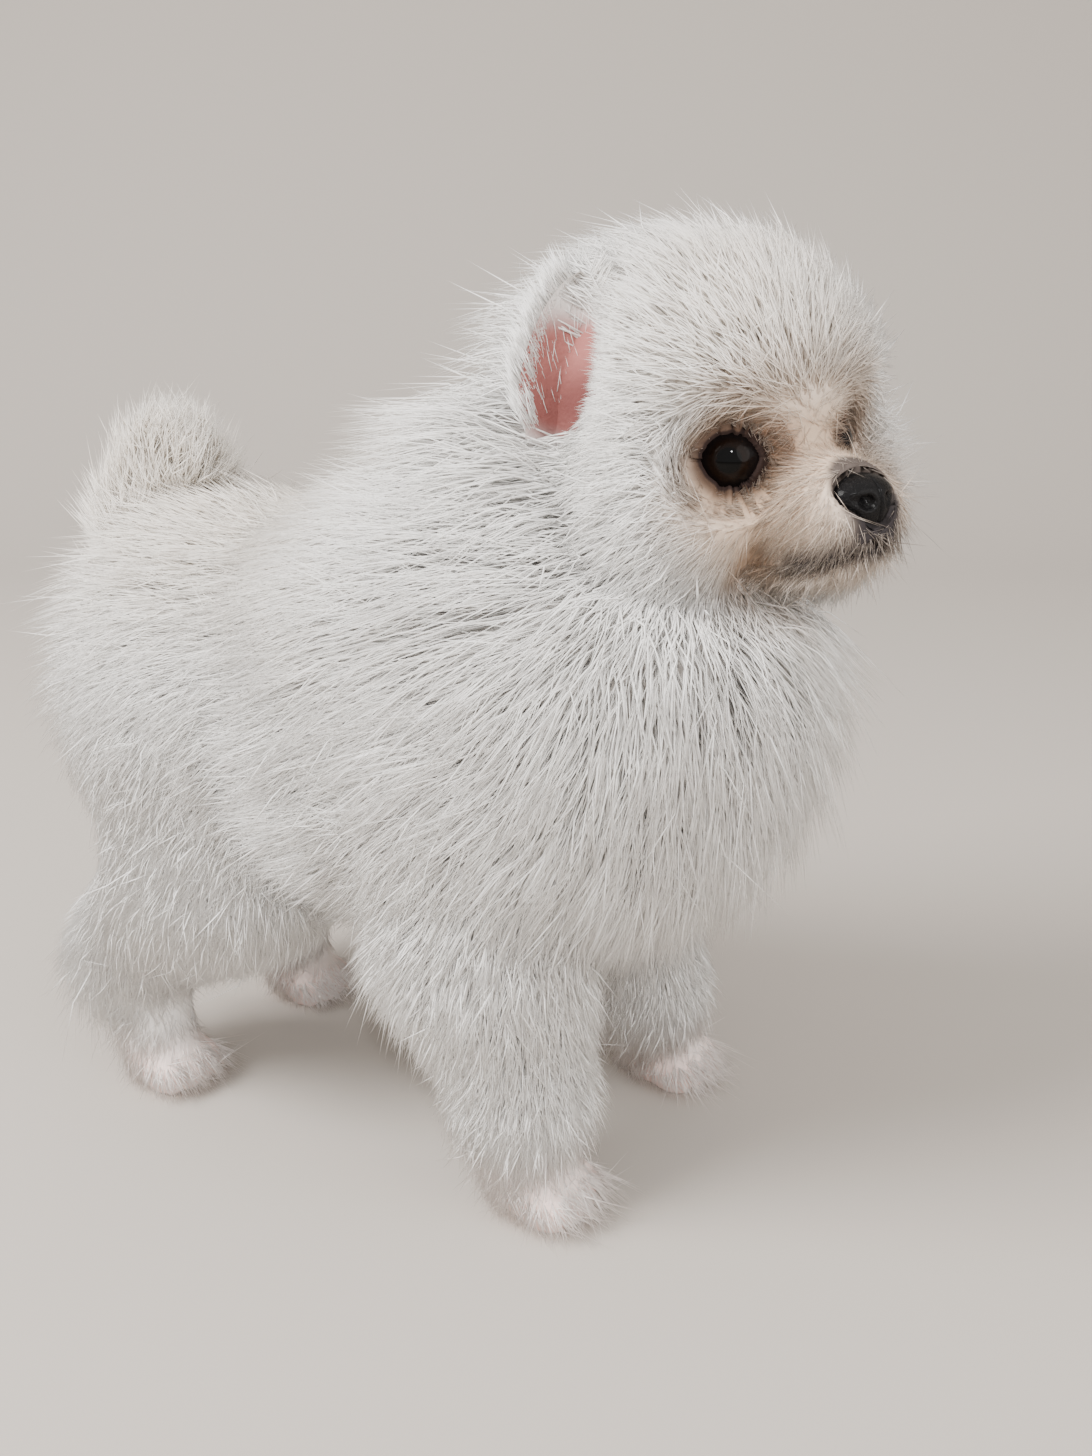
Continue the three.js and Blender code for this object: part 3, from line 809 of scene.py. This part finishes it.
DOME = 0.35
for side, word in ((1, "left"), (-1, "right")):
    at = head_spot(*on_side(EYE_AT, side))
    look = way_from_head(on_side(LOOK, side))[0]
    eye = sphere("eyeball_" + word, at, EYE_RADIUS)
    p = read_points(eye.data)
    facing = ramp(0.72, 1.0, unit(p - at) @ look)
    write_points(eye.data, p + unit(p - at) * DOME * facing[:, None])
    paint = Paint("eye_" + word, 0.03, Specular_IOR_Level=0.05, Coat_Weight=0.13, Coat_Roughness=0.01)
    place = paint.place()
    iris = paint.near(place, at + look * EYE_RADIUS, 3.2, 4.6)
    pupil = paint.near(place, at + look * EYE_RADIUS, 2.1, 2.7)
    white = paint.near(place, at + look * EYE_RADIUS, 6.6, 7.6)
    streaks = paint.noise(place, 1400, 3)
    tone = paint.blend(white, LID_RIM, (0.006, 0.0045, 0.0045))
    tone = paint.blend(iris, tone, paint.blend(streaks, (0.004, 0.002, 0.0015), (0.010, 0.005, 0.003)))
    paint.colour(paint.blend(pupil, tone, (0.002, 0.002, 0.002)))
    eye.data.materials.append(paint.material)
    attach(eye, "root")
    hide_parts("eye_" + word)


# The nose. It is a pad of moist, pebbled leather with two comma nostrils and a groove down to the
# lip. It grows at the muzzle's tip, and its back edge is sunk in the skin.
def nose_field(p):
    q = to_head(p)
    near = near_side(q)
    inner = bone([21.0, 2.4, -8.8], 1.0, [25.2, 2.6, -8.8], 1.35)(near)
    outer = bone([23.6, 2.7, -8.7], 1.3, [22.2, 6.4, -7.9], 0.6)(near)
    hole = soft_min(inner, outer, 0.6)
    value = -soft_min(-nose_shape(q), hole, 0.7)
    return value + 0.45 * np.exp(-(q[:, 1] ** 2) / 0.1) * ramp(21, 23, q[:, 0])


nose = sphere("nose_leather", head_spot(19.0, 0, -8.6), 5)
remesh(nose, 0.14)
write_points(nose.data, draw_to(nose_field, read_points(nose.data), 9))
shade_smooth(nose)
paint = Paint("nose_leather", 0.35, Specular_IOR_Level=0.08, Coat_Weight=0.12, Coat_Roughness=0.15)
place = paint.place()
pebble = paint.node("TexVoronoi", {"feature": "DISTANCE_TO_EDGE"}, {"Vector": place, "Scale": 1500})
paint.colour(paint.blend(paint.noise(place, 300, 3), (0.002, 0.0018, 0.002), (0.008, 0.0074, 0.0078)))
paint.rough(0.28 + 0.3 * paint.noise(place, 500, 2))
paint.bump(paint.ease(pebble, 0.0, 0.22), 0.6, 0.00022)
nose.data.materials.append(paint.material)
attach(nose, "root")
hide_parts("nose")

# The claws. Each toe ends in a small, blunt claw of pale horn that curves down to the floor.
# It grows out of the toe's end, so its root is sunk in the paw.
claw_points = []
claw_faces = []
RINGS = 6
SIDES = 10
for x, y, half in PAWS.values():
    for toe in toe_places(x, y, half):
        start = len(claw_points)
        for i in range(RINGS + 1):
            t = i / RINGS
            middle = toe + [3.4 + 3.6 * t, 0, 0.9 - 2.2 * t * t - 0.3 * t]
            radius = 0.85 * (1 - t**2.2) ** 0.6 + 0.03
            for k in range(SIDES):
                a = 2 * math.pi * k / SIDES
                claw_points.append(middle + [0, 0.75 * radius * math.cos(a), 1.1 * radius * math.sin(a)])
        for i in range(RINGS):
            for k in range(SIDES):
                a = start + i * SIDES + k
                b = start + i * SIDES + (k + 1) % SIDES
                claw_faces.append((a, b, b + SIDES, a + SIDES))
        claw_faces.append(tuple(range(start + SIDES - 1, start - 1, -1)))
        claw_faces.append(tuple(range(start + RINGS * SIDES, start + (RINGS + 1) * SIDES)))
claw_mesh = bpy.data.meshes.new("claws")
claw_mesh.from_pydata(metres(np.array(claw_points)).tolist(), [], claw_faces)
claws = add_object("claws", claw_mesh)
shade_smooth(claws)
paint = Paint("claw_horn", 0.35)
paint.colour(paint.blend(paint.noise(paint.place(), 400, 2), (0.62, 0.45, 0.38), (0.78, 0.66, 0.58)))
claws.data.materials.append(paint.material)
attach(claws, "root")


# The coat. Soft, straight puppy hair stands off a dense underfur and gathers in loose wisps. It is
# longest on the ruff and haunches and shortest on the muzzle and feet, and it grows out of the skin.
rng = np.random.default_rng(11)


def trunk_lie(p, n):
    down = -0.35 - 1.2 * ramp(45, 85, p[:, 0]) - 0.8 * ramp(-55, -85, p[:, 0])
    return np.stack([-np.ones(len(p)), 0.3 * n[:, 1], down], axis=1)


def neck_lie(p, n):
    front = ramp(45, 80, p[:, 0])
    return np.stack([mix(-1, -0.1, front), 0.25 * n[:, 1], -0.45 - 0.6 * front], axis=1)


def head_lie(p, n):
    q = to_head(p)
    away = unit(q - [22, 0, 0] - np.outer(q[:, 2] < 0, [0, 0, 6]))
    return way_from_head(away + [-0.3, 0, -0.1])


def tail_lie(p, n):
    return np.stack([0.3 * ramp(125, 145, p[:, 2]), np.zeros(len(p)), np.ones(len(p))], axis=1) + 0.25 * n


def leg_lie(p, n):
    return np.tile([-0.3, 0.0, -1.0], (len(p), 1))


def paw_lie(p, n):
    return np.tile([0.7, 0.0, -0.6], (len(p), 1))


def paw_coat(p):
    return np.full(len(p), 2.0)


def head_hair(p):
    """The head's hair is as its coat, but longer on the brow, where it stands up in a fringe."""
    q = to_head(p)
    from_muzzle = np.linalg.norm(q - MUZZLE_AT, axis=1) + 13 * ramp(3, 14, q[:, 2])
    nape = 20 * ramp(-18, -44, q[:, 0]) * ramp(-14, 6, q[:, 2])
    fringe = BARE_FACE + 13 * ramp(18, 46, from_muzzle) * ramp(-30, -12, q[:, 0])
    return np.maximum(head_coat(q), fringe) + nape


def trunk_hair(p):
    """The hair is shorter where it hangs behind, over the rump."""
    return trunk_coat(p) * mix(1, 0.3, ramp(-55, -82, p[:, 0]))


def neck_hair(p):
    """The ruff stands up behind the head."""
    return neck_coat(p) + 30 * ramp(118, 142, p[:, 2]) * ramp(72, 45, p[:, 0])


def tail_hair(p):
    return tail_coat(p) * 1.5


def hind_hair(p):
    return hind_coat(p) * 0.42


GROWTH = {
    "torso": (trunk_hair, trunk_lie),
    "neck": (neck_hair, neck_lie),
    "tail": (tail_hair, tail_lie),
    "head": (head_hair, head_lie),
}
for name, (joints, coat) in LEGS.items():
    GROWTH[name] = (hind_hair if coat is hind_coat else coat, leg_lie)
for name in PAWS:
    GROWTH[name] = (paw_coat, paw_lie)
NAMES = list(GROWTH)


def survey(p, n):
    """The coat's depth and lie at each place, eased from one part of the body to the next, and the part."""
    off = np.stack([parts[name](p) for name in NAMES], axis=1)
    share = np.exp(-np.maximum(off, 0) / 3)
    share /= share.sum(axis=1, keepdims=True)
    depth = sum(share[:, i] * GROWTH[name][0](p) for i, name in enumerate(NAMES))
    lie = sum(share[:, i : i + 1] * unit(GROWTH[name][1](p, n)) for i, name in enumerate(NAMES))
    return depth, lie, off.argmin(axis=1)


def hair_height(depth):
    """How far the hairs' tips stand off the skin, for the coat's depth."""
    return np.maximum(SHARE * depth, mix(1.2, 2.8, clamp((depth - 0.6) / 3.9)))


def lid_stand(p):
    """Hair stands up more in the eyes' sockets, so that it clears their rims."""
    return 0.5 * ramp(15, 10, np.linalg.norm(eye_place(to_head(p)), axis=1))


def hair_frame(n, depth, lie, stand):
    """The lie along the skin, and the way that a hair leaves it."""
    along = unit(lie - (lie * n).sum(axis=1, keepdims=True) * n)
    lift = mix(0.3, 0.95, ramp(1.5, 12, depth)) + stand
    return along, unit(along + lift[:, None] * n)


LONGEST = 34


def hair_length(n, start, bend, height):
    rise = ((start + bend) * n).sum(axis=1)
    return np.minimum(height / np.maximum(rise, 0.14), LONGEST)


def hair_bend(n, along, depth):
    soft = ramp(2, 14, depth)[:, None]
    return 0.18 * along - 0.12 * n + soft * [0, 0, -0.1]


# For each part of the body, its middle and its tile's corner and size on the unwrap.
ATLAS = {
    "torso": (np.array([2, 0, 97]), np.array([0.01, 0.51]), np.array([0.48, 0.48])),
    "neck": (np.array([50, 1, 126]), np.array([0.51, 0.51]), np.array([0.48, 0.48])),
    "head": (HEAD_AT + [-12, 3, 0], np.array([0.01, 0.01]), np.array([0.48, 0.48])),
    "tail": (np.array([-66, 0, 133]), np.array([0.51, 0.38]), np.array([0.11, 0.11])),
}
for i, name in enumerate(LEGS):
    hip = np.array(LEGS[name][0][1][0]) + [0, 0, -16]
    ATLAS[name] = (hip, np.array([0.51 + 0.12 * i, 0.01]), np.array([0.11, 0.35]))
for i, (name, (x, y, half)) in enumerate(PAWS.items()):
    ATLAS[name] = (np.array([x, y, 5]), np.array([0.63 + 0.09 * i, 0.38]), np.array([0.08, 0.11]))


def unwrap(p, part):
    """A place on the skin's own unwrap: each part of the body has a tile, opened like a map."""
    uv = np.zeros((len(p), 2))
    for i, name in enumerate(NAMES):
        on = part == i
        middle, low, size = ATLAS[name]
        away = unit(p[on] - middle)
        uv[on, 0] = 0.5 + np.arctan2(away[:, 1], away[:, 0]) / (2 * math.pi)
        uv[on, 1] = 0.5 + np.arcsin(np.clip(away[:, 2], -1, 1)) / math.pi
        uv[on] = low + uv[on] * size
    return uv


# The rings of a long and of a short hair, the unwrap's patch for one hair, and a piece's triangles.
STEPS = np.array([0, 0.5, 1.0])
SHORT_STEPS = np.array([0, 1.0])
PATCH = 0.003
MOST = 190000


def hair_mesh(name, lines, width, side, out, uv, steps):
    """Joined closed hairs of three sides that taper to a point. Lines holds each hair's centres."""
    count, rings = len(lines), len(steps) - 1
    taper = np.array([1, 0.8])
    spin = rng.uniform(0, 2 * math.pi, count)
    points = np.empty((count, rings * 3 + 1, 3))
    spread = np.empty((count, rings * 3 + 1, 2))
    for k in range(3):
        angle = (spin + 2 * math.pi * k / 3)[:, None]
        across = side * np.cos(angle) + out * np.sin(angle) * 0.6
        for r in range(rings):
            points[:, 3 * r + k] = lines[:, r] + across * (width * taper[r] / 2)[:, None]
            spread[:, 3 * r + k] = [(k - 1) * PATCH / 2, (steps[r] - 0.5) * PATCH]
    points[:, -1] = lines[:, -1]
    spread[:, -1] = [0, PATCH / 2]
    pattern = [(0, 2, 1)]
    for r in range(rings - 1):
        for k in range(3):
            a, b = 3 * r + k, 3 * r + (k + 1) % 3
            pattern += [(a, b, b + 3), (a, b + 3, a + 3)]
    top = 3 * (rings - 1)
    pattern += [(top + k, top + (k + 1) % 3, 3 * rings) for k in range(3)]
    pattern = np.array(pattern)
    lots = math.ceil(count * len(pattern) / MOST)
    for lot, chosen in enumerate(np.array_split(np.arange(count), lots)):
        mesh = bpy.data.meshes.new(name)
        ids = (np.arange(len(chosen))[:, None, None] * points.shape[1] + pattern).reshape(-1)
        mesh.vertices.add(len(chosen) * points.shape[1])
        mesh.vertices.foreach_set("co", metres(points[chosen].reshape(-1, 3)).ravel())
        mesh.loops.add(len(ids))
        mesh.loops.foreach_set("vertex_index", ids)
        mesh.polygons.add(len(ids) // 3)
        mesh.polygons.foreach_set("loop_start", np.arange(0, len(ids), 3))
        mesh.polygons.foreach_set("use_smooth", np.ones(len(ids) // 3, bool))
        mesh.update(calc_edges=True)
        layer = mesh.uv_layers.new(name="OFBake")
        patches = uv[chosen][:, None, :] + spread[chosen]
        layer.data.foreach_set("uv", patches.reshape(-1, 2)[ids].ravel())
        piece = add_object(f"{name}_{lot + 1}" if lots > 1 else name, mesh)
        piece.data.materials.append(fur_paint.material)
        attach(piece, "root")


fur_paint = Paint("puppy_hair", 0.62, Specular_IOR_Level=0.35)
root_place = fur_paint.node("TexCoord", {}, [], out=2)
strand = fur_paint.noise(root_place, 2600, 1, (1, 0.06, 1))
place = fur_paint.place()
tone = markings(fur_paint, place, WHITE, strand)
in_shade = 0.16 + 0.7 * fur_paint.near(place, head_spot(8, 0, -8), 16, 40)
fur_paint.colour(fur_paint.blend(fur_paint.ease(strand, 0.45, 0.58) * in_shade, tone, STRAND_SHADE))
fur_paint.rough(0.5 + 0.25 * strand)


def sample_skin(mesh, wanted):
    """Roots spread over the skin, as many to each face as wanted() gives for a square millimetre."""
    mesh.calc_loop_triangles()
    corners = np.empty(len(mesh.loop_triangles) * 3, dtype=np.int64)
    mesh.loop_triangles.foreach_get("vertices", corners)
    p = read_points(mesh)[corners.reshape(-1, 3)]
    cross = np.cross(p[:, 1] - p[:, 0], p[:, 2] - p[:, 0])
    area = np.linalg.norm(cross, axis=1) / 2
    middle = p.mean(axis=1)
    polygon = np.array([t.polygon_index for t in mesh.loop_triangles])
    expected = np.where(polygon < SKIN_FACES, area * wanted(middle, unit(cross)), 0)
    number = rng.poisson(expected)
    face = np.repeat(np.arange(len(area)), number)
    a = rng.random((len(face), 2))
    a = np.where(a.sum(axis=1, keepdims=True) > 1, 1 - a, a)
    corner = p[face]
    first = corner[:, 0] + a[:, :1] * (corner[:, 1] - corner[:, 0])
    return first + a[:, 1:] * (corner[:, 2] - corner[:, 0])


def hair_width(height):
    return mix(0.3, 0.5, ramp(1.5, 9, height))


def bare(p):
    """Where no hair grows: the lids' edge, the lips' line, the nose, the soles and the eyes."""
    q = to_head(p)
    place = eye_place(q)
    lids = (lid_opening(place) < 1.5) & (np.linalg.norm(place, axis=1) < 11)
    nose_area = nose_shape(q) < 0.6
    lips = (np.abs(q[:, 2] - mouth_height(q)) < 0.45) & (q[:, 0] > 0) & (np.abs(q[:, 1]) < 14)
    deep = np.linalg.norm(place, axis=1) < EYE_RADIUS + 0.3
    return lids | nose_area | lips | deep | (p[:, 2] < 1.2)


# The ear's cup is open to one side of its middle, and the coat stays by the solids and off the floor.
EAR_GAP = -0.22
BOX_LOW = np.array(cad_low) / MM + [-5, -5, 0.4]
BOX_HIGH = np.array(cad_high) / MM + [5, 5, 6]


def outside_box(p):
    place = p + SHIFT
    return (place < BOX_LOW).any(axis=1) | (place > BOX_HIGH).any(axis=1)


def barred(p):
    """Where no hair may hang: before the ear's cup, over the eye and over the nose."""
    q = to_head(p)
    foot = near_side(q) - EAR_FOOT
    up = foot @ EAR_WAY / EAR_TALL
    across = (foot @ EAR_WIDE - EAR_ASIDE) / EAR_HALF
    cup = ((across - EAR_GAP) / 0.52) ** 2 + ((up - 0.46) / 0.42) ** 2 < 1
    cup &= (foot @ EAR_FACE > -3) & (foot @ EAR_FACE < 26)
    place = eye_place(q)
    over_eye = (lid_opening(place) < 0.5) & (np.linalg.norm(place, axis=1) < 16)
    return cup | over_eye | (nose_shape(q) < 0.6) | outside_box(p)


# How many times over the hairs cover the skin, in the long coat and in the short.
COVER = 6.6
SHORT_COVER = 3.2
HAIRS_IN_WISP = 16
STRAYS = 0.12


def wanted(p, n):
    """Hairs for a square millimetre of skin."""
    depth, lie, _ = survey(p, n)
    height = hair_height(depth)
    along, start = hair_frame(n, depth, lie, lid_stand(p))
    length = hair_length(n, start, hair_bend(n, along, depth), height)
    cover = mix(SHORT_COVER, COVER, ramp(2, 9, depth))
    return np.where(bare(p) | barred(p), 0, cover / (0.5 * length * hair_width(height)))


def grow(root):
    """Hairs from their roots: each leaves along the lie, bends over, and leans to its wisp's tip."""
    n = unit(gradient(skin_field, root))
    depth, lie, part = survey(root, n)
    lie = lie + rng.normal(0, 0.3, root.shape)
    along, start = hair_frame(n, depth * rng.uniform(0.8, 1.15, len(root)), lie, lid_stand(root))
    bend = hair_bend(n, along, depth) + rng.normal(0, 0.05, root.shape)
    stray = np.where(rng.random(len(root)) < STRAYS, rng.uniform(1.15, 1.5, len(root)), 1)
    height = hair_height(depth) * rng.uniform(0.55, 1.12, len(root)) * stray
    length = hair_length(n, start, bend, height)[:, None]
    side = np.cross(n, along)
    tip = root + (start + bend) * length
    leaders = rng.choice(len(root), max(len(root) // HAIRS_IN_WISP, 1), replace=False)
    tree = kdtree.KDTree(len(leaders))
    for i, leader in enumerate(leaders):
        tree.insert(root[leader], i)
    tree.balance()
    nearest = leaders[[tree.find(p)[1] for p in root]]
    pull = (tip[nearest] - tip) * rng.uniform(0.25, 0.6, (len(root), 1))
    pull *= ramp(3, 9, height)[:, None]
    wave = side * rng.normal(0, 0.045, (len(root), 1)) * length
    start, bend = start * length, bend * length
    reach = np.ones(len(root))
    for s in (1.0, 0.85, 0.7, 0.55, 0.4, 0.25, 0.12):
        there = root + start * s + (bend + pull) * s**2 + wave * math.sin(s * 5)
        reach = np.where(barred(there), s * 0.85, reach)
    reach = reach[:, None]
    kept = reach[:, 0] > 0.5
    grown = (n, part, side, height, start * reach, bend * reach**2, pull * reach**2, wave * reach)
    return [root[kept]] + [values[kept] for values in grown]


SUNK = 0.5


def lines_of(root, n, start, bend, pull, wave, steps):
    """Each hair's centres. The first is sunk in the skin."""
    lines = []
    for s in steps:
        sunk = n * (-SUNK if s == 0 else 0)
        lines.append(root + sunk + start * s + (bend + pull) * s**2 + wave * math.sin(s * 5))
    return np.stack(lines, axis=1)


SHORT_HAIR = 4.2
roots = sample_skin(skin.data, wanted)
roots, n, part, side, height, start, bend, pull, wave = grow(roots)
uv = unwrap(roots, part)
width = hair_width(height) * rng.uniform(0.75, 1.25, len(roots)) * 1
short = height < SHORT_HAIR
for name in NAMES:
    for long_hair, steps in ((True, STEPS), (False, SHORT_STEPS)):
        on = (part == NAMES.index(name)) & (short != long_hair)
        if on.sum() < 40:
            continue
        lines = lines_of(roots[on], n[on], start[on], bend[on], pull[on], wave[on], steps)
        title = ("coat_" if long_hair else "down_") + name
        slot = "coat_cream" if name == "tail" else "coat_white"
        hair_mesh(title, lines, width[on], side[on], n[on], uv[on], steps)


def ear_hair(name, side, count, u, v, back, way, length, width):
    """Hair on one ear, from places u and v of its leaf, along way given in the ear's own directions."""
    root = ear_leaf(u, v, back)
    across, up, out = [w[:, None] if isinstance(w, np.ndarray) else w for w in way]
    way = unit(across * EAR_WIDE + up * EAR_WAY + out * EAR_FACE + rng.normal(0, 0.16, root.shape))
    length = (length * rng.uniform(0.6, 1.1, count))[:, None]
    bend = -0.15 * EAR_FACE + 0.1 * EAR_WAY
    lines = []
    for s in STEPS:
        lines.append(from_head(on_side(root + way * length * s + bend * length * s**2, side)))
    lines = np.stack(lines, axis=1)
    aside = way_from_head(on_side(unit(np.cross(way, EAR_FACE)), side))
    outward = way_from_head(np.tile(on_side(EAR_FACE, side), (count, 1)))
    uv = unwrap(lines[:, 0], np.full(count, NAMES.index("head")))
    width = width * rng.uniform(0.8, 1.2, count)
    on = ~outside_box(lines[:, -1])
    hair_mesh(name, lines[on], width[on], aside[on], outward[on], uv[on], STEPS)


EAR_HAIRS = 2600
for side, word in ((1, "left"), (-1, "right")):
    u = rng.uniform(-0.98, 0.98, EAR_HAIRS)
    v = rng.uniform(0.0, 0.96, EAR_HAIRS)
    ear_hair("ear_back_" + word, side, EAR_HAIRS, u, v, 1, (0.5 * u, 1.0, -0.55), 8.0, 0.42)
    few = EAR_HAIRS * 2 // 5
    u = rng.uniform(0.74, 1.0, few) * rng.choice([-1, 1], few)
    v = rng.uniform(0.05, 0.97, few)
    ear_hair("ear_edge_" + word, side, few, u, v, 0, (0.75 * u, 0.85, 0.35), 7.0, 0.36)
    few = EAR_HAIRS // 18
    u = rng.uniform(-0.75, 0.75, few)
    v = rng.uniform(0.12, 0.9, few)
    ear_hair("ear_inside_" + word, side, few, u, v, 0, (0.5 * u, 0.9, 0.3), 4.5, 0.17)


# The floor, the light and the camera. The floor is plain, warm and pale and sweeps up far behind.
# The light is a large soft window on the puppy's right, and the camera looks as the photograph does.
PAN = math.radians(-28.5)
PITCH = math.radians(-16.9)
AWAY = Vector((math.sin(PAN), math.cos(PAN), 0))
ASIDE = Vector((AWAY.y, -AWAY.x, 0))
SWEEP_FAR = 0.7
SWEEP_RADIUS = 0.6
SWEEP_STEPS = 24
FLOOR_REACH = 4
profile = [(-FLOOR_REACH, 0), (SWEEP_FAR, 0)]
for i in range(1, SWEEP_STEPS + 1):
    angle = math.pi / 2 * i / SWEEP_STEPS
    rise = SWEEP_RADIUS - SWEEP_RADIUS * math.cos(angle)
    profile.append((SWEEP_FAR + SWEEP_RADIUS * math.sin(angle), rise))
profile.append((SWEEP_FAR + SWEEP_RADIUS, FLOOR_REACH))
corners = []
for far, high in profile:
    for aside in (-FLOOR_REACH, FLOOR_REACH):
        corners.append(AWAY * far + ASIDE * aside + Vector((0, 0, high)))
strips = [(2 * i, 2 * i + 1, 2 * i + 3, 2 * i + 2) for i in range(len(profile) - 1)]
sweep = bpy.data.meshes.new("floor")
sweep.from_pydata(corners, [], strips)
floor = add_object("floor", sweep)
shade_smooth(floor)
floor_paint = bpy.data.materials.new("floor_paint")
floor_paint.use_nodes = True
floor_shader = floor_paint.node_tree.nodes["Principled BSDF"]
floor_shader.inputs["Base Color"].default_value = (0.50, 0.455, 0.41, 1)
floor_shader.inputs["Roughness"].default_value = 0.9
floor.data.materials.append(floor_paint)

world = bpy.data.worlds.new("studio")
bpy.context.scene.world = world
world.use_nodes = True
world.node_tree.nodes["Background"].inputs["Color"].default_value = (1.0, 0.985, 0.97, 1)
world.node_tree.nodes["Background"].inputs["Strength"].default_value = 1.15


def soft_light(name, at, size, power, tint):
    lamp = bpy.data.lights.new(name, "AREA")
    lamp.shape = "DISK"
    lamp.size = size
    lamp.energy = power
    lamp.color = tint
    made = add_object(name, lamp)
    made.location = at
    made.rotation_euler = (Vector((0, 0, 0.1)) - Vector(at)).to_track_quat("-Z", "Y").to_euler()


soft_light("window", (-0.55, -0.75, 0.95), 0.7, 30, (1.0, 0.98, 0.96))
soft_light("fill", (0.9, -0.2, 0.5), 0.9, 4.0, (1.0, 0.95, 0.9))
soft_light("catch", (0.62, -0.9, 0.75), 0.09, 5, (1.0, 1.0, 1.0))

SENSOR = 36
PHOTO_TALL = 1456
FOCAL_PIXELS = 1400
camera = add_object("camera", bpy.data.cameras.new("camera"))
camera.location = metres([181.5, -259.4, 187.7])
look = Vector((math.sin(PAN) * math.cos(PITCH), math.cos(PAN) * math.cos(PITCH), math.sin(PITCH)))
camera.rotation_euler = look.to_track_quat("-Z", "Y").to_euler()
camera.data.sensor_width = SENSOR
camera.data.lens = SENSOR * FOCAL_PIXELS / PHOTO_TALL
camera.data.clip_start = 0.01
bpy.context.scene.camera = camera
